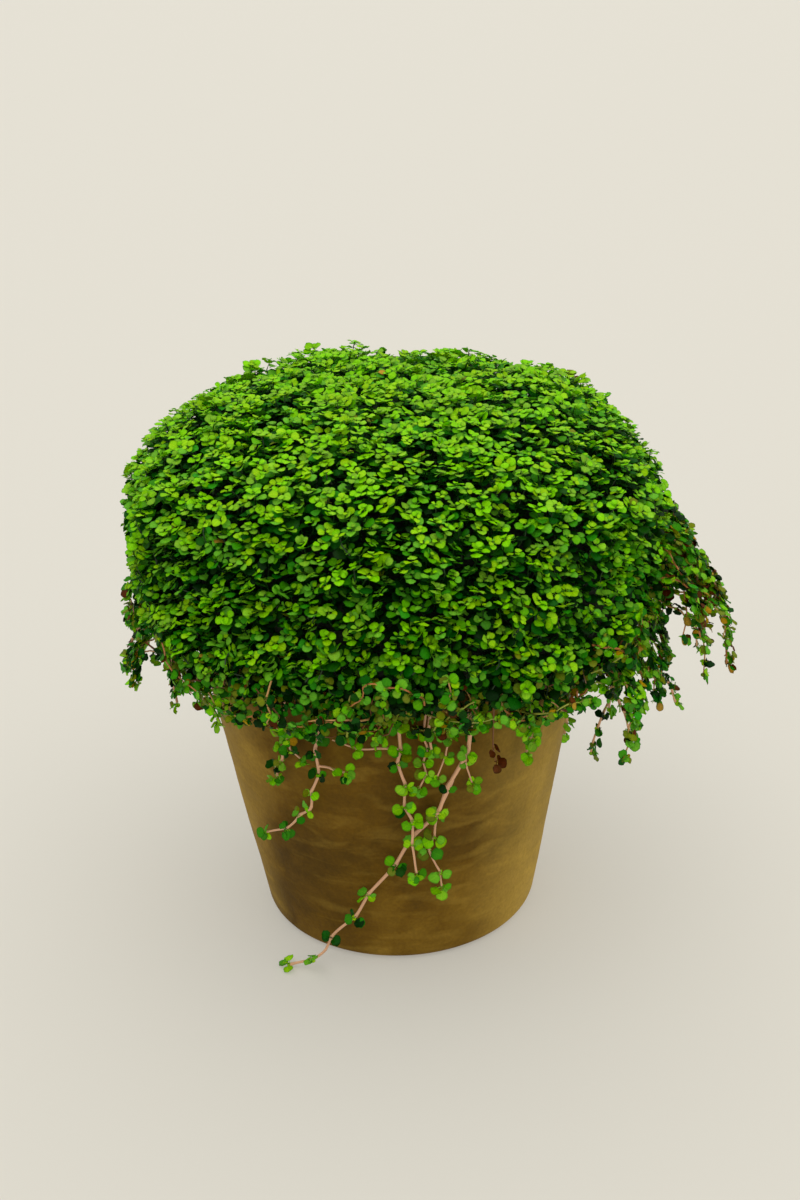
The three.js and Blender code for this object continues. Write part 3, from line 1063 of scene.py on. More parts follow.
class CushionSurface:
    """The outer surface of the CAD cushion, to set shoots on and to lead stems along.

    Attributes:
        GRAIN: The distance between the points that guide the rest.
        MEAN_OVER: How wide a way out of the cushion is averaged.
        REACH: How far from the surface a stem still follows it.
    """

    GRAIN = 2.5 * MM
    MEAN_OVER = 12 * MM
    REACH = 7 * MM

    def __init__(self, pot: ClayPot) -> None:
        """Read the faces of the CAD cushion that don't touch the pot."""
        self.pot = pot
        self.low, self.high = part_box("leaf_cushion")
        at = node_triangles("leaf_cushion")
        cross = np.cross(at[:, 1] - at[:, 0], at[:, 2] - at[:, 0])
        area = np.linalg.norm(cross, axis=1) / 2
        normal = unit(cross)
        centre = at.mean(axis=1)
        radius = np.hypot(centre[:, 0], centre[:, 1])
        out = np.sum(normal[:, :2] * centre[:, :2], axis=1) / np.maximum(radius, 1e-9)
        wall = pot.wall_radius(np.minimum(centre[:, 2], pot.height))
        on_pot = (radius < wall + 1.5 * MM) & (centre[:, 2] < pot.height + 2 * MM)
        keep = ~on_pot & (out > -0.3) & (area > 0.02 * MM * MM)
        self.at, self.normal, self.area = at[keep], normal[keep], area[keep]
        self.guide_points, self.guide_normals = self.spread(self.GRAIN, np.random.default_rng(3))
        self.guide = tree_of(self.guide_points)
        self.guide_normals = self.smooth(self.guide_points)

    def spread(self, spacing: float, rng: np.random.Generator) -> tuple[Array, Array]:
        """Spread points evenly over the surface.

        Args:
            spacing: The least distance between two points.
            rng: The source of chance.

        Returns:
            The points, and their faces' normals.
        """
        tries = int(12 * self.area.sum() / spacing**2)
        pick = rng.choice(len(self.at), tries, p=self.area / self.area.sum())
        a, b = rng.random((2, tries))
        flip = a + b > 1
        a[flip], b[flip] = 1 - a[flip], 1 - b[flip]
        corner = self.at[pick]
        sides = corner[:, 1:] - corner[:, :1]
        points = corner[:, 0] + a[:, None] * sides[:, 0] + b[:, None] * sides[:, 1]
        cells = np.floor(points / spacing).astype(int)
        taken: dict[tuple[int, int, int], list[int]] = {}
        kept = []
        for i, (x, y, z) in enumerate(cells.tolist()):
            around = ((x + dx - 1, y + dy - 1, z + dz - 1) for dx, dy, dz in AROUND)
            near = [j for cell in around for j in taken.get(cell, ())]
            if near and np.min(np.sum((points[near] - points[i]) ** 2, axis=1)) < spacing**2:
                continue
            taken.setdefault((x, y, z), []).append(i)
            kept.append(i)
        return points[kept], self.normal[pick][kept]

    def smooth(self, points: Array) -> Array:
        """Give the mean way out of the cushion around each point."""
        found = (self.guide.find_range(point, self.MEAN_OVER) for point in points)
        near = ([index for _, index, _ in some] for some in found)
        return unit(np.array([self.guide_normals[some].mean(axis=0) for some in near]))

    def height(self, points: Array) -> Array:
        """Give each point's height as a share, from 0 at the hem to 1 at the crown."""
        return (points[:, 2] - self.low[2]) / (self.high[2] - self.low[2])

    def settle(self, point: Array, lift: float) -> tuple[Array, Array]:
        """Bring a point onto the cushion, or onto the pot's wall below it.

        Args:
            point: The point.
            lift: How far it is to stand over the surface.

        Returns:
            The settled point and the way out there.
        """
        _, index, far = self.guide.find(point)
        if far < self.REACH:
            out = self.guide_normals[index]
            return point - out * (np.dot(point - self.guide_points[index], out) - lift), out
        radius = math.hypot(point[0], point[1])
        out = np.array([point[0] / radius, point[1] / radius, 0.0])
        wall = self.pot.wall_radius(min(point[2], self.pot.height))
        return point + out * (max(wall + lift, radius - 2 * MM) - radius), out


@dataclass
class LeafCushion:
    """The cushion: shoots set close together over its surface, each with leaves up its stem.

    Attributes:
        pot: The pot it grows in.
        tangle_depth: How far the old stems stay inside the leaves.
        widest_above_rim: How far over the rim it is widest.
        squareness: How square its outline is: 2 is round, and more is fuller.
        hem_lift: How far the lowest shoots are drawn up.
        hem_rag: How unevenly its hem ends.
        side_tuck: How far the shoots of its sides are drawn in.
        skirt_tuck: How far those of its skirt are drawn in as well.
        skirt_top: The share of its height up to which it is skirt.
        crown_radius: The radius of its crown.
        crown_start: The share of its height over which loose shoots stand up.
        risers_ring: The radius outside of which they are closest at its back left.
        worn_left: The share of worn leaves where it hangs at the left.
        worn_right: The same at the right.
        left_hollow: How far the old stems are drawn in at the left.
        tangle_relief: Their unevenness.
        seed: The start of its chances.
    """

    pot: ClayPot
    tangle_depth: float = 10 * MM
    widest_above_rim: float = 21 * MM
    squareness: float = 2.9
    hem_lift: float = 3 * MM
    hem_rag: float = 7 * MM
    side_tuck: float = 4.4 * MM
    skirt_tuck: float = 0.6 * MM
    skirt_top: float = 0.36
    crown_radius: float = 58 * MM
    crown_start: float = 0.86
    risers_ring: float = 42 * MM
    worn_left: float = 0.42
    worn_right: float = 0.22
    left_hollow: float = 24 * MM
    tangle_relief: Cloud = (9 * MM, 5 * MM)
    seed: int = 7

    def __post_init__(self) -> None:
        """Read the surface that the shoots stand on."""
        self.surface = CushionSurface(self.pot)

    def shoots(self, storey: Storey, rng: np.random.Generator) -> Shoots:
        """Place a storey's shoots and choose how each one grows."""
        points, _ = self.surface.spread(storey.spacing, rng)
        outward = self.surface.smooth(points)
        height = self.surface.height(points)
        clumps = clouds_at(points, 9 * MM)
        swells = clouds_at(points, 24 * MM)
        relief = np.clip(1.1 * clumps + 0.7 * swells + rng.normal(0, 0.28, len(points)), -1, 1)
        hanging = np.clip((0.44 - height) / 0.26, 0, 1)
        beside = np.clip((0.9 - height) / 0.35, 0, 1)
        lift = storey.lift - self.side_tuck * beside - self.skirt_tuck * hanging
        tip = points + outward * (lift + relief * storey.relief)[:, None]
        low = np.clip(1 - height / 0.22, 0, 1)
        rag = clouds_at(points * (1, 1, 0), 11 * MM)
        tip[:, 2] += low * (self.hem_lift - self.hem_rag * rag)
        thin = clouds_at(points, 7 * MM, 5)
        sparse = hanging * np.clip(np.abs(points[:, 0]) / (60 * MM), 0.25, 1)
        too_low = np.array([below_hem(p, self.pot.height) for p in tip]) + 3 * MM * rag > 0
        left = hanging * np.clip((-points[:, 0] - 55 * MM) / (20 * MM), 0, 1)
        kept = (thin > 0.35 * sparse + 0.45 * hanging + 0.45 * left - 0.85) & ~too_low
        return Shoots(tip[kept], outward[kept], height[kept], hanging[kept], -relief[kept])

    def risers(self, rng: np.random.Generator) -> Shoots:
        """Choose the loose shoots that stand up out of the crown, most of them at its back left."""
        points, _ = self.surface.spread(6 * MM, rng)
        azimuth = np.degrees(np.arctan2(points[:, 1], points[:, 0]))
        high = self.surface.height(points) > self.crown_start
        outer = np.hypot(points[:, 0], points[:, 1]) > self.risers_ring
        back_left = high & (azimuth > 92) & (azimuth < 150) & outer
        chosen = back_left & (rng.random(len(points)) < 0.6) | high & (rng.random(len(points)) < 0.06)
        points = points[chosen]
        outward = self.surface.smooth(points)
        rise = np.where(back_left[chosen], 6 * MM, 3.5 * MM) * rng.uniform(0.4, 1.1, len(points))
        tip = points + outward * rise[:, None]
        nothing = np.zeros(len(points))
        return Shoots(tip, outward, self.surface.height(points), nothing, nothing - 0.6)

    def grow(self, shoots: Shoots, storey: Storey, stems: StemBundle, rng: np.random.Generator) -> Growth:
        """Grow the leaves and the stem of each shoot.

        Args:
            shoots: The shoots.
            storey: The storey that they belong to.
            stems: The bundle that their stems are added to.
            rng: The source of chance.

        Returns:
            The leaves.
        """
        count = len(shoots.tip)
        hang = shoots.hanging[:, None]
        stand = 0.5 * shoots.outward + 0.75 * UP
        droop = 0.55 * shoots.outward - 0.6 * UP
        axis = unit((1 - hang) * stand + hang * droop + rng.normal(0, 0.22, (count, 3)))
        across = unit(np.cross(axis, rng.normal(0, 1, (count, 3))))
        other = np.cross(axis, across)
        shade_of_shoot = rng.integers(0, SHADES, count)
        start = rng.random(count) * 2 * math.pi
        vigour = np.clip(rng.normal(1, 0.1, count), 0.75, 1.25)
        lean = rng.normal(0, 0.28, (count, 3))
        whim = rng.normal(0, 0.5, count)
        leaves = Growth()
        for step, (depth, share) in enumerate(zip(storey.depths, storey.sizes)):
            turn = start + step * GOLDEN_ANGLE + rng.normal(0, 0.3, count)
            out = np.cos(turn)[:, None] * across + np.sin(turn)[:, None] * other
            node = shoots.tip - axis * (depth * rng.uniform(0.8, 1.2, count))[:, None]
            size = storey.leaf_size * share * vigour * rng.uniform(0.82, 1.15, count)
            size *= 1 - 0.12 * shoots.hanging
            facing_up = 0.85 * UP + 0.35 * shoots.outward - 0.3 * out
            facing_out = 0.9 * shoots.outward + 0.5 * UP - 0.2 * out
            facing = (1 - hang) * facing_up + hang * facing_out
            normal = unit(facing + lean + rng.normal(0, 0.2, (count, 3)))
            age = self.ages(shoots, storey.ages[step] + whim, rng)
            shade = (shade_of_shoot + rng.integers(0, 2, count)) % SHADES
            base = node + out * (size * STALK)[:, None]
            leaves.add(base, out + 0.2 * axis, normal, size, age, shade)
        length = max(storey.depths) + 2 * MM
        for i in range(count):
            tip, way = shoots.tip[i], axis[i]
            line = np.array([tip - way * length, tip - way * length * 0.5 + across[i] * MM, tip])
            # Painted shade: most stems inside the cushion take the near-black green SHADED colour.
            fresh = shoots.hanging[i] < 0.5 or rng.random() < 0.5
            shade = StemShade.SHADED if fresh else StemShade(int(rng.integers(1, 5)))
            stems.add(line, np.array([0.26, 0.24, 0.16]) * MM, shade)
        return leaves

    def ages(self, shoots: Shoots, mean: Array, rng: np.random.Generator) -> Array:
        """Choose leaves' rows on the map: fresh at the tips, painted lighter on the crown, painted shade
        where shoots stand back and in the skirt, and olive, yellowing and dried leaves worn in the skirt.
        """
        count = len(shoots.tip)
        # Painted shade: shoots that stand back, and those of the skirt, take darker rows.
        gloom = shoots.hanging * (shoots.sunk > -0.5)
        mark = mean + 1.3 * shoots.sunk + 0.5 * shoots.hanging + 2.4 * gloom
        mark += rng.normal(0, 0.25, count)
        # Painted light: the crown's shoots take lighter rows.
        mark -= 0.9 * np.clip(shoots.height * 2.4 - 1.5, 0, 1)
        age = np.clip(np.round(mark), 0, LeafAge.SHADED.value).astype(int)
        worn = rng.random(count)
        side = np.where(shoots.tip[:, 0] < 0, self.worn_left, self.worn_right)
        odds = 0.004 + shoots.hanging * side
        age = np.where(worn < odds, LeafAge.OLIVE.value, age)
        age = np.where(worn < 0.08 * odds, LeafAge.YELLOWING.value, age)
        return np.where(worn < 0.03 * odds, LeafAge.DRY.value, age)

    def tangle(self) -> Piece:
        """Shape the tangle of old stems under the leaves, from the pot's rim to the crown."""
        low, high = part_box("leaf_cushion")
        radius = (high[0] - low[0]) / 2 - self.tangle_depth
        middle = ((high[0] + low[0]) / 2, (high[1] + low[1]) / 2)
        widest = self.pot.height + self.widest_above_rim
        rise = high[2] - self.tangle_depth - widest
        deselect_all()
        bpy.ops.mesh.primitive_uv_sphere_add(segments=96, ring_count=64, radius=1)
        piece = new_piece("cushion_tangle")
        power = 2 / self.squareness
        for vertex in piece.data.vertices:
            x, y, z = vertex.co
            ring = math.hypot(x, y)
            level = math.copysign(abs(z) ** power, z)
            wide = ring**power / max(ring, 1e-9)
            drop = rise if z > 0 else 0.45 * rise
            inward = self.left_hollow * max(0.0, -x) * min(1.0, max(0.0, -2 * z))
            vertex.co = (
                middle[0] + radius * x * wide + inward,
                middle[1] + radius * y * wide,
                widest + drop * level,
            )
        bpy.ops.object.mode_set(mode="EDIT")
        bpy.ops.mesh.select_all(action="SELECT")
        bpy.ops.mesh.bisect(
            plane_co=(0, 0, self.pot.height + 1 * MM), plane_no=(0, 0, 1), use_fill=True, clear_inner=True
        )
        bpy.ops.object.mode_set(mode="OBJECT")
        roughen(piece, *self.tangle_relief, group_above(piece, self.pot.height + 3 * MM))
        return piece

    def parts(self, leaves: Growth) -> dict[str, Growth]:
        """Part the leaves by where they grow, so that no piece is too large.

        Args:
            leaves: Some of the cushion's leaves.

        Returns:
            The leaves of each part by the part's name.
        """
        rows = leaves.rows()
        base = rows["base"]
        height = self.surface.height(base)
        radius = np.hypot(base[:, 0], base[:, 1])
        side = np.where(base[:, 0] < 0, "left", "right")
        face = np.where(base[:, 1] < 0, "front", "back")
        zone = np.where(height < self.skirt_top, "skirt", "side")
        full = [f"{a}_{b}_{c}" for a, b, c in zip(face, side, zone)]
        crown = (height >= self.skirt_top) & (radius < self.crown_radius)
        full = np.where(crown, np.char.add(face, "_crown"), np.array(full))
        parted = {}
        for name in sorted(set(full)):
            some = full == name
            part = Growth()
            part.add(*(rows[key][some] for key in ROW_KEYS))
            parted[str(name)] = part
        return parted

    def build(self, makers: dict[str, LeafMaker], leaf: Material, stem: Material) -> None:
        """Grow the cushion and dress its pieces."""
        rng = np.random.default_rng(self.seed)
        stems = StemBundle(sides=3)
        for storey in (CANOPY, UNDERSTOREY):
            shoots = self.shoots(storey, rng)
            LOG.info("%s: %d shoots", storey.name, len(shoots.tip))
            leaves = self.grow(shoots, storey, stems, rng)
            for name, part in self.parts(leaves).items():
                piece = makers[storey.name].build(f"{name}_{storey.name}", part)
                finish_piece(piece, leaf, "foliage", "leaf_cushion")
        loose = self.grow(self.risers(rng), CANOPY, stems, rng)
        piece = makers[CANOPY.name].build("loose_shoots", loose)
        finish_piece(piece, leaf, "foliage", "leaf_cushion")
        finish_piece(stems.build("cushion_stems"), stem, "stem", "leaf_cushion")
        finish_piece(self.tangle(), ShadedTangle().material(), "foliage", "leaf_cushion")


def tree_of(points: Array) -> KDTree:
    """Sort points into a tree that finds the nearest."""
    tree = KDTree(len(points))
    for i, point in enumerate(points):
        tree.insert(point, i)
    tree.balance()
    return tree


def node_triangles(node: str) -> Array:
    """Read a CAD node's triangles.

    Args:
        node: The node's name.

    Returns:
        The corners of each triangle, in metres.
    """
    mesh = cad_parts[node].data
    points = np.empty(len(mesh.vertices) * 3, np.float32)
    mesh.vertices.foreach_get("co", points)
    points = points.reshape(-1, 3).astype(float)
    mesh.calc_loop_triangles()
    faces = np.empty(len(mesh.loop_triangles) * 3, np.int32)
    mesh.loop_triangles.foreach_get("vertices", faces)
    return points[faces.reshape(-1, 3)]


# ---------------------------------------------------------------------------------------------
# Stems with leaves along them
# ---------------------------------------------------------------------------------------------


@dataclass
class StemGrower:
    """Grows stems along lines, each with nodes, clusters of leaves and unopened buds.

    Attributes:
        rng: The source of chance.
        worn: The share of leaves that are olive, yellowing or dried.
        dried: True if the whole stem has dried.
        gloom: How many rows of the leaves' map darker its leaves can be painted, as shade for want of
            light.
        sides: How many sides a stem has.
    """

    rng: np.random.Generator
    worn: float = 0.06
    dried: bool = False
    gloom: float = 0.0
    sides: int = 8
    leaves: Growth = field(default_factory=Growth)
    bundle: StemBundle = field(init=False)

    def __post_init__(self) -> None:
        """Start an empty bundle."""
        self.bundle = StemBundle(self.sides)

    def stem(
        self,
        line: Array,
        outward: Array,
        clusters: Clusters,
        leaf: float,
        radius: float,
        shade: StemShade,
    ) -> None:
        """Grow one stem, kinked a little at each node.

        Args:
            line: The points along its middle.
            outward: The open side at each of them.
            clusters: Where its leaves grow: the share of its length, and how many.
            leaf: The length of its largest leaf.
            radius: Its radius at its start.
            shade: Its colour.
        """
        count = len(line)
        share = np.linspace(0, 1, count)
        places = np.array([place for place, _ in clusters])
        kinks = np.concatenate([[0], np.cumsum(np.ones(len(places))) % 2 * 2 - 1])
        kinks = kinks * self.rng.uniform(0.4, 1.1, len(kinks)) * MM
        sway = np.interp(share, np.concatenate([[0], places]), kinks)
        side = unit(np.cross(unit(np.gradient(line, axis=0)), outward))
        line = line + side * sway[:, None]
        thick = radius * (1 - 0.4 * share)
        for place in places:
            thick = thick * (1 + 0.3 * np.exp(-(((share - place) * count * 0.9) ** 2)))
        self.bundle.add(line, thick, shade)
        for place, number in clusters:
            index = min(count - 1, int(round(place * (count - 1))))
            way = unit(line[min(index + 1, count - 1)] - line[max(index - 1, 0)])
            self.cluster(line[index], way, outward[index], number, index == count - 1, leaf)

    def cluster(self, at: Array, way: Array, out: Array, count: int, tip: bool, leaf: float) -> None:
        """Grow the leaves at one node.

        Args:
            at: The node's place.
            way: The stem's way on from there.
            out: The open side.
            count: How many leaves.
            tip: True at the stem's end.
            leaf: The length of the largest leaf.
        """
        rng = self.rng
        side = unit(np.cross(way, out))
        out = unit(np.cross(side, way))
        half = math.radians(70 if tip else 115)
        first = rng.choice((-1, 1))
        freshness_and_shade = rng.uniform(-0.3, 0.8) if tip else rng.choice((0.1, 0.8, 2.5))
        # Painted shade: gloom darkens the leaves by up to that many rows.
        freshness_and_shade += self.gloom * rng.random()
        count += 1
        for i in range(count):
            if tip:
                turn = half * (2 * i / max(count - 1, 1) - 1)
            else:
                turn = first * (-1) ** i * half * rng.uniform(0.35, 1.0)
            turn += rng.normal(0, 0.2)
            forward = math.cos(turn) * way + math.sin(turn) * side + rng.uniform(-0.1, 0.8) * out
            size = leaf * rng.uniform(0.7, 1.05)
            normal = out * rng.uniform(0.5, 1.1) + UP * rng.uniform(0.1, 0.8)
            normal += rng.normal(0, 0.3, 3)
            base = at + unit(forward) * size * STALK + out * (0.3 * MM * i)
            self.leaf(base, forward, normal, size, freshness_and_shade + rng.normal(0, 0.7))
        for _ in range(0 if self.dried else 2):
            bud = rng.uniform(1.2, 2.0) * MM
            self.leaf(at, way + rng.normal(0, 0.5, 3), rng.normal(0, 1, 3), bud, -1)

    def leaf(self, base: Array, forward: Array, normal: Array, size: float, mark: float) -> None:
        """Add one leaf, whose row on the map follows a mark from 0 at the freshest to 4, the darkest
        painted shade.
        """
        rng = self.rng
        age = int(np.clip(round(mark), 0, LeafAge.SHADED.value))
        if rng.random() < self.worn:
            age = rng.choice((LeafAge.OLIVE.value, LeafAge.YELLOWING.value), p=(0.8, 0.2))
            if rng.random() < self.worn:
                age = LeafAge.DRY.value
        if self.dried:
            age = LeafAge.DRY.value
        shade = int(rng.integers(0, SHADES))
        self.leaves.add(*(np.array([value]) for value in (base, forward, normal, size, age, shade)))


@dataclass
class Runners:
    """Wiry stems that run over the cushion's skirt, and short ones that hang from its hem.

    Attributes:
        surface: The cushion's surface.
        over: How many run over the skirt.
        hanging: How many hang from the hem.
        skirt: Between which shares of the cushion's height those over the skirt start.
        hem: How far over the hem those that hang start, at most.
        front: The middle and the half width, in degrees, of the front, where they hang lowest.
        leaf: The length of their largest leaf.
        radii: Between which radii their stems are, in millimetres.
        step: The distance between the points of a stem.
    """

    surface: CushionSurface
    over: int = 80
    hanging: int = 48
    skirt: tuple[float, float] = (0.1, 0.4)
    hem: float = 9 * MM
    front: tuple[float, float] = (-80, 45)
    leaf: float = 3 * MM
    radii: tuple[float, float] = (0.2, 0.36)
    step: float = 1.8 * MM
    seed: int = 40

    def path(
        self, start: Array, way: Array, steps: int, fall: float, below: float, rng: np.random.Generator
    ) -> tuple[Array, Array]:
        """Lead a stem over the surface, from under the leaves out onto them.

        Args:
            start: Where it starts.
            way: The way that it sets off.
            steps: How many steps it takes.
            fall: How strongly it turns downward.
            below: How far below the leaves' lower edge it may reach.
            rng: The source of chance.

        Returns:
            Its points, and the way out at each.
        """
        points, outs = [], []
        point = start
        for i in range(steps):
            lift = (-3.5 + 5.1 * min(1.0, 2.2 * i / steps)) * MM
            point, out = self.surface.settle(point, lift)
            if i > 3 and below_hem(point, self.surface.pot.height) > below:
                break
            points.append(point)
            outs.append(out)
            way = way + rng.normal(0, 0.2, 3) - fall * UP
            way = unit(way - np.dot(way, out) * out)
            point = point + way * self.step
        return np.array(points), unit(np.array(outs))

    def build(self, maker: LeafMaker, leaf: Material, stem: Material) -> None:
        """Grow and dress the runners."""
        rng = np.random.default_rng(self.seed)
        grower = StemGrower(rng, worn=0.2, sides=5)
        points = self.surface.guide_points
        height = self.surface.height(points)
        skirt = np.flatnonzero((height > self.skirt[0]) & (height < self.skirt[1]))
        over_hem = np.array([-below_hem(p, self.surface.pot.height) for p in points])
        hem = np.flatnonzero((height < 0.2) & (over_hem > 0) & (over_hem < self.hem))
        for kind, choices, number in (("over", skirt, self.over), ("hanging", hem, self.hanging)):
            for pick in rng.choice(choices, number, replace=False):
                down = kind == "hanging"
                grower.gloom = 0.7 if down else 3.0
                steps = int(rng.integers(5, 15)) if down else int(rng.integers(12, 24))
                way = rng.normal(0, 1, 3) * (0.3 if down else 1.0)
                fall = 0.5 if down else 0.12
                around = math.degrees(math.atan2(points[pick][1], points[pick][0]))
                front = abs(around - self.front[0]) < self.front[1]
                below = rng.uniform(4, 15) * MM if down and front else 0.0
                line, out = self.path(points[pick], way, steps, fall, below, rng)
                nodes = max(2, len(line) // 3)
                clusters = tuple(((i + 1) / nodes, int(rng.integers(3, 5))) for i in range(nodes))
                shade = StemShade(int(rng.choice((0, 1, 1, 3, 3, 4))))
                grower.stem(line, out, clusters, self.leaf, rng.uniform(*self.radii) * MM, shade)
        finish_piece(maker.build("runner_leaves", grower.leaves), leaf, "foliage", "leaf_cushion")
        finish_piece(grower.bundle.build("runner_stems"), stem, "stem", "leaf_cushion")


# ---------------------------------------------------------------------------------------------
# Trailing stems
# ---------------------------------------------------------------------------------------------


class Reach(Enum):
    """What a route's standoff is measured from."""

    WALL = "wall"
    CUSHION = "cushion"


@dataclass(frozen=True)
class Stem:
    """One stem of a trailer.

    Attributes:
        route: Points of azimuth in degrees, fall, and standoff in millimetres. Azimuth -90 is
            the front, and the fall goes from 0 near the rim to 1 on the table.
        clusters: Where its leaves grow: the share of its length, and how many.
        leaf: The length of its largest leaf, in millimetres.
        radius: The stem's radius, in millimetres.
        leaves_at: The share of the parent's length that it leaves at, for a branch.
        shade: The stem's colour.
    """

    route: tuple[tuple[float, ...], ...]
    clusters: Clusters = ()
    leaf: float = 3.2
    radius: float = 0.6
    leaves_at: float | None = None
    shade: StemShade = StemShade.PINK


@dataclass(frozen=True)
class Spray:
    """Finer stems round a main one, which leave the cushion's side and bend down.

    Attributes:
        count: How many stems.
        azimuths: Between which azimuths they leave, in degrees.
        heights: Between which heights over the rim they leave, in millimetres.
        reaches: How far they stand out past the cushion's side, in millimetres.
        drops: How far their tips bend down, in millimetres.
    """

    count: int
    azimuths: tuple[float, float]
    heights: tuple[float, float]
    reaches: tuple[float, float]
    drops: tuple[float, float]


@dataclass(frozen=True)
class Trailer:
    """A trailing stem with its branches, as one CAD node."""

    node: str
    stems: tuple[Stem, ...]
    reach: Reach = Reach.WALL
    worn: float = 0.05
    spray: Spray | None = None
    dried: bool = False


def even(count: int, leaves: int, start: float = 0.15) -> Clusters:
    """Spread clusters evenly along a stem, with the last at its tip."""
    return tuple((start + (1 - start) * (i + 1) / count, leaves) for i in range(count))


TRAILERS = (
    Trailer(
        "front_left_trailer",
        (
            Stem(
                ((-118, -0.07), (-119, 0.02), (-121, 0.11), (-126, 0.24)),
                ((0.3, 3), (0.45, 3), (0.6, 3), (0.75, 3), (0.9, 4), (1.0, 5)),
            ),
            Stem(((-121, -0.03), (-119, 0.1), (-117, 0.15)), even(4, 3), radius=0.4),
        ),
    ),
    Trailer(
        "front_curling_trailer",
        (
            Stem(
                ((-108, -0.08), (-110, 0.03), (-112, 0.2), (-115, 0.31), (-121, 0.41), (-136, 0.53)),
                (
                    *((0.08, 3), (0.18, 4), (0.26, 4), (0.38, 3)),
                    *((0.5, 2), (0.6, 2), (0.68, 2), (0.84, 4), (1.0, 3)),
                ),
                3.3,
            ),
            Stem(((-108, 0.16), (-104, 0.18)), ((0.6, 1), (1.0, 4)), leaves_at=0.34, radius=0.45),
        ),
    ),
    Trailer(
        "front_middle_trailer",
        (
            Stem(
                ((-88, -0.05), (-89, 0.14), (-88, 0.24, 5), (-86, 0.4, 8), (-86, 0.56, 8)),
                ((0.06, 4), (0.22, 5), (0.3, 3), (0.45, 3), (0.58, 5), (0.66, 4), (0.8, 2), (1.0, 5)),
                3.5,
            ),
            Stem(((-97, 0.08), (-106, 0.045)), ((0.3, 1), (0.6, 2)), radius=0.4, leaves_at=0.23),
            Stem(((-82, -0.05), (-82, 0.1, 3), (-83, 0.24, 4)), even(5, 3), radius=0.45),
        ),
    ),
    Trailer(
        "front_long_trailer",
        (
            Stem(
                (
                    *((-69, -0.05), (-71, 0.11), (-76, 0.27), (-80, 0.36), (-88, 0.48)),
                    *((-97, 0.63), (-105, 0.76), (-113, 0.87, 5), (-118, 0.95, 9), (-127, 1, 16)),
                ),
                (
                    *((0.05, 4), (0.14, 4), (0.25, 2), (0.33, 2), (0.42, 2), (0.53, 5)),
                    *((0.66, 3), (0.75, 3), (0.86, 3), (0.94, 2), (1.0, 3)),
                ),
                3.5,
                0.75,
            ),
            Stem(
                ((-80, 0.45), (-79, 0.56), (-76, 0.66)),
                ((0.3, 3), (0.5, 4), (0.62, 2), (0.85, 2), (1.0, 3)),
                3.9,
                0.5,
                0.23,
            ),
            Stem(((-69, 0.25),), ((0.4, 1), (1.0, 6)), 3.0, 0.4, 0.14),
            Stem(((-76, 0.08), (-78, 0.2)), even(3, 2), 3.0, 0.4, 0.02),
        ),
    ),
    Trailer("front_short_trailer", (Stem(((-81, -0.04), (-81, 0.09)), ((0.5, 2), (1.0, 3))),)),
    Trailer(
        "front_dry_trailer",
        (
            Stem(
                ((-64, -0.05), (-63, 0.08), (-62, 0.19)),
                ((0.75, 1), (1.0, 3)),
                leaf=3.5,
                radius=0.3,
                shade=StemShade.BROWN,
            ),
        ),
        dried=True,
    ),
    Trailer(
        "front_right_trailer",
        (
            Stem(
                ((-53, -0.06), (-51, 0.1), (-50, 0.2)),
                ((0.2, 4), (0.4, 5), (0.6, 5), (0.8, 6), (1.0, 5)),
                3.5,
            ),
            Stem(((-57, -0.1), (-56, 0.02), (-54, 0.1)), even(4, 5), 3.5),
            Stem(((-47, -0.1), (-46, 0.0), (-46, 0.08)), even(3, 4), 3.3),
        ),
    ),
    Trailer(
        "right_high_spray",
        (
            Stem(
                ((-9, -0.27, -7), (-6, -0.26, 9), (-5, -0.18, 19), (-4, -0.06, 24), (-4, 0.13, 26)),
                even(14, 5),
                shade=StemShade.RUSTY,
            ),
            Stem(((-9, -0.12, 13), (-10, 0.01, 14)), even(4, 4), leaves_at=0.35, radius=0.5),
        ),
        Reach.CUSHION,
        0.3,
        Spray(34, (-20, 10), (4, 38), (3, 26), (3, 24)),
    ),
    Trailer(
        "right_low_spray",
        (
            Stem(((-12, -0.02, -11), (-10, 0.1, -5), (-8, 0.17, 5), (-6, 0.26, 8)), even(6, 4)),
        ),
        Reach.CUSHION,
        0.15,
        Spray(9, (-36, 0), (-8, 4), (-2, 9), (6, 20)),
    ),
    Trailer(
        "right_hanging_trailer",
        (
            Stem(((-20, -0.03, -15), (-17, 0.12, -13), (-14, 0.3, -8)), even(5, 4)),
            Stem(((-22, 0.24, -17), (-21, 0.36, -20)), even(4, 3), leaves_at=0.5, radius=0.5),
            Stem(((-26, -0.08, -12), (-24, 0.06, -12), (-23, 0.16, -13)), even(5, 4), radius=0.45),
        ),
        Reach.CUSHION,
        0.1,
    ),
    Trailer("right_wall_trailer", (Stem(((-36, -0.04), (-34, 0.08), (-33, 0.22, 5)), even(5, 3)),)),
    Trailer(
        "left_high_spray",
        (Stem(((-172, -0.14, -9), (-173, -0.06, -2), (-173, 0.03, -1)), even(4, 3)),),
        Reach.CUSHION,
        0.15,
        Spray(11, (-192, -158), (-6, 20), (-5, 1), (4, 13)),
    ),
    Trailer(
        "left_hanging_trailer",
        (Stem(((-168, -0.04, 9), (-166, 0.06, 12), (-165, 0.14, 13)), even(4, 3)),),
    ),
    Trailer("left_wall_trailer", (Stem(((-152, -0.1, 6), (-150, 0.03, 6), (-148, 0.14)), even(5, 3)),)),
    Trailer(
        "back_long_trailer",
        (Stem(((96, 0.1), (98, 0.25), (103, 0.42), (101, 0.6), (106, 0.74)), even(10, 4)),),
    ),
    Trailer("back_left_trailer", (Stem(((142, 0.08), (146, 0.24), (143, 0.42)), even(7, 4)),)),
    Trailer("back_right_trailer", (Stem(((48, 0.08), (45, 0.25), (50, 0.4), (47, 0.52)), even(8, 4)),)),
    Trailer("back_short_trailer", (Stem(((72, 0.1), (74, 0.24), (70, 0.36)), even(6, 4)),)),
)


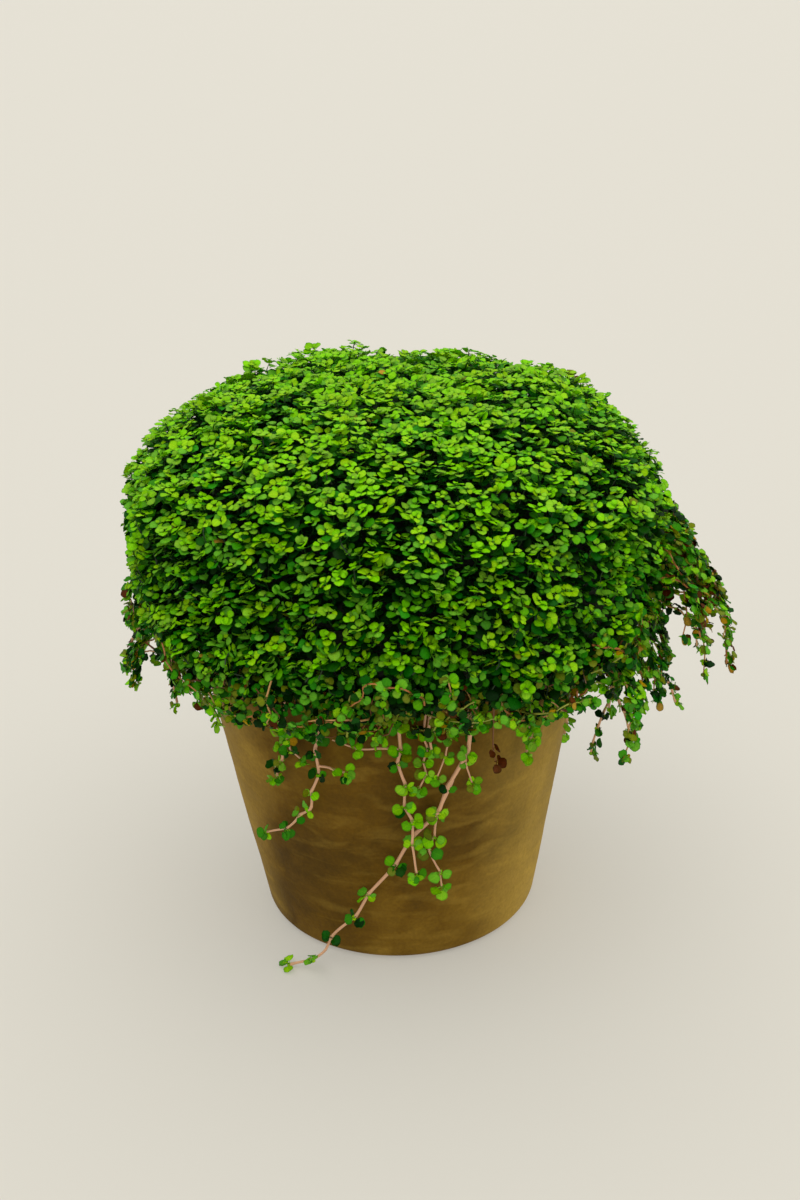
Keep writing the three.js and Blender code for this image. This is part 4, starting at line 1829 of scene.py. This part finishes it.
def through(points: Array, step: float) -> Array:
    """Draw a smooth line through points.

    Args:
        points: The points, at least two.
        step: The distance between the line's own points.

    Returns:
        The line's points.
    """
    first = 2 * points[0] - points[1]
    last = 2 * points[-1] - points[-2]
    padded = np.vstack([first, points, last])
    line = []

    def blend(a: Array, b: Array, from_t: float, to_t: float) -> Array:
        """Mix two points by how far t is on the way from one time to another."""
        return (to_t - t) / (to_t - from_t) * a + (t - from_t) / (to_t - from_t) * b

    for p0, p1, p2, p3 in zip(padded, padded[1:], padded[2:], padded[3:]):
        t1 = np.linalg.norm(p1 - p0) ** 0.5
        t2 = t1 + np.linalg.norm(p2 - p1) ** 0.5
        t3 = t2 + np.linalg.norm(p3 - p2) ** 0.5
        count = max(2, int(np.linalg.norm(p2 - p1) / step))
        for t in np.linspace(t1, t2, count, endpoint=False):
            middle = blend(p1, p2, t1, t2)
            before = blend(blend(p0, p1, 0, t1), middle, 0, t2)
            after = blend(middle, blend(p2, p3, t2, t3), t1, t3)
            line.append(blend(before, after, t1, t2))
    return np.array(line + [points[-1]])


@dataclass
class TrailingStems:
    """The stems that trail down the pot or stand out from the cushion's side."""

    pot: ClayPot
    top_below_rim: float = 10 * MM
    standoff: float = 4 * MM
    table_standoff: float = 1.6 * MM
    step: float = 1.3 * MM
    cushion_overhang: float = 23.5 * MM
    rooted: float = 9 * MM
    seed: int = 21

    def line(self, stem: Stem, reach: Reach, start: Array | None) -> Array:
        """Work out a stem's middle line from its route.

        Args:
            stem: The stem.
            reach: What its standoffs are measured from.
            start: Where a branch leaves its parent, or None.

        Returns:
            The points of the line.
        """
        top = self.pot.height - self.top_below_rim
        points = [] if start is None else [start]
        for azimuth, fall, *rest in stem.route:
            z = top + (self.table_standoff - top) * fall
            standoff = rest[0] * MM if rest else self.standoff
            base = self.pot.wall_radius(z)
            if reach is Reach.CUSHION:
                base = self.pot.rim_radius + self.cushion_overhang
            angle = math.radians(azimuth)
            radius = base + standoff
            points.append(np.array([radius * math.cos(angle), radius * math.sin(angle), z]))
        return through(np.array(points), self.step)

    def outward(self, line: Array) -> Array:
        """Give the way out from what each point is nearest to: the wall, or the table."""
        radius = np.hypot(line[:, 0], line[:, 1])
        out = np.stack([line[:, 0] / radius, line[:, 1] / radius, 0 * radius], axis=-1)
        on_table = line[:, 2] < radius - self.pot.wall_radius(line[:, 2])
        out[on_table] = (0, 0, 1)
        return out

    def grow_spray(self, spray: Spray, grower: StemGrower) -> None:
        """Grow a spray's finer stems.

        Args:
            spray: What they are like.
            grower: What they are grown by.
        """
        rng = grower.rng
        share = np.linspace(0, 1, 22)
        for _ in range(spray.count):
            azimuth = math.radians(rng.uniform(*spray.azimuths)) + share * rng.normal(0, 0.17)
            level = rng.random()
            low, high = spray.heights
            far = (1 - level) ** 0.42 * rng.uniform(0.5, 1)
            reach = spray.reaches[0] + (spray.reaches[1] - spray.reaches[0]) * far
            radius = self.pot.rim_radius + self.cushion_overhang - self.rooted
            radius = radius + (reach * MM + self.rooted) * (1 - (1 - share) ** 1.8)
            z = self.pot.height + (low + (high - low) * level) * MM
            z = z - rng.uniform(*spray.drops) * MM * share**2.5
            wave = np.cumsum(rng.normal(0, 0.25 * MM, (len(share), 3)), axis=0)
            line = np.stack([radius * np.cos(azimuth), radius * np.sin(azimuth), z], axis=-1) + wave
            clusters = even(int(rng.integers(8, 12)), int(rng.integers(4, 6)), 0.1)
            shade = StemShade(int(rng.integers(1, 4)))
            grower.stem(line, self.outward(line), clusters, 3.2 * MM, 0.3 * MM, shade)

    def build(self, maker: LeafMaker, leaf: Material, stem: Material) -> None:
        """Grow and dress every trailer."""
        for index, trailer in enumerate(TRAILERS):
            rng = np.random.default_rng(self.seed + index)
            gloom = 2.0 if trailer.reach is Reach.CUSHION else 0.0
            grower = StemGrower(rng, trailer.worn, trailer.dried, gloom)
            parent: Array | None = None
            for part in trailer.stems:
                start = None
                if part.leaves_at is not None and parent is not None:
                    start = parent[int(part.leaves_at * (len(parent) - 1))]
                line = self.line(part, trailer.reach, start)
                parent = line if parent is None else parent
                out = self.outward(line)
                grower.stem(line, out, part.clusters, part.leaf * MM, part.radius * MM, part.shade)
            if trailer.spray is not None:
                self.grow_spray(trailer.spray, grower)
            slot = "dry_leaf" if trailer.dried else "foliage"
            name = trailer.node
            finish_piece(maker.build(f"{name}_leaves", grower.leaves), leaf, slot, name)
            finish_piece(grower.bundle.build(f"{name}_stem"), stem, "stem", name)


# ---------------------------------------------------------------------------------------------
# Studio
# ---------------------------------------------------------------------------------------------


@dataclass
class Studio:
    """The pale floor, the soft lights and the camera.

    Attributes:
        eye: Where the camera is.
        pitch: How far it looks down, in degrees.
        roll: How far it leans to the right, in degrees.
        lens: Its focal length in millimetres, for a sensor of 36 mm on the long side.
    """

    eye: Point = (3.3 * MM, -487.3 * MM, 329.4 * MM)
    pitch: float = 23.5
    roll: float = 2.05
    lens: float = 45.0

    def camera(self) -> None:
        """Set up the camera."""
        data = bpy.data.cameras.new("camera")
        data.lens = self.lens
        data.sensor_width = 36
        data.sensor_fit = "AUTO"
        camera = bpy.data.objects.new("camera", data)
        bpy.context.scene.collection.objects.link(camera)
        tilt = Matrix.Rotation(math.radians(90 - self.pitch), 4, "X")
        lean = Matrix.Rotation(math.radians(-self.roll), 4, "Z")
        camera.matrix_world = Matrix.Translation(self.eye) @ tilt @ lean
        bpy.context.scene.camera = camera

    def sun(self, name: str, tilt: tuple[float, float], spread: float, power: float, colour: str) -> None:
        """Hang a very large, far and soft light.

        Args:
            name: The light's name.
            tilt: How far it leans to the back and to the left of straight up, in degrees.
            spread: How wide it looks from the plant, in degrees.
            power: Its strength.
            colour: Its hex colour.
        """
        data = bpy.data.lights.new(name, "SUN")
        data.energy = power
        data.angle = math.radians(spread)
        data.color = linear(colour)[:3]
        lamp = bpy.data.objects.new(name, data)
        bpy.context.scene.collection.objects.link(lamp)
        lamp.rotation_euler = (math.radians(tilt[0]), math.radians(tilt[1]), 0)

    def build(self) -> None:
        """Lay the floor, and set up the lights and the camera."""
        deselect_all()
        bpy.ops.mesh.primitive_plane_add(size=60)
        floor = new_piece("studio_floor")
        floor.data.materials.append(PaleFloor().material())
        self.sun("overhead", (-10.0, 4.0), 100.0, 2.1, "#FFFCF2")
        self.sun("window", (50.0, 6.0), 110.0, 1.1, "#FFFCF2")
        world = bpy.data.worlds.new("studio")
        world.use_nodes = True
        ambient = world.node_tree.nodes["Background"]
        ambient.inputs[0].default_value = linear("#F2EFE6")
        ambient.inputs[1].default_value = 0.38
        bpy.context.scene.world = world
        bpy.context.scene.view_settings.view_transform = "Standard"
        self.camera()


def main() -> None:
    """Build the pot, its mix, the cushion and the trailing stems, then light them."""
    logging.basicConfig(level=logging.INFO, format="%(name)s: %(message)s")
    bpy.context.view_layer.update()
    Studio().build()
    pot = ClayPot()
    finish_piece(pot.build(), WeatheredClay().material(), "aged_clay", "clay_pot")
    finish_piece(PottingMix().build(), MoistPottingMix().material(), "potting_mix", "potting_mix")
    leaf = FleshyLeaf().material()
    stem = CreepingStem().material()
    cushion = LeafCushion(pot)
    cushion.build({"canopy": LeafMaker(10), "understorey": LeafMaker(8)}, leaf, stem)
    fine = LeafMaker(14)
    Runners(cushion.surface).build(fine, leaf, stem)
    TrailingStems(pot).build(fine, leaf, stem)


if __name__ == "__main__":
    main()
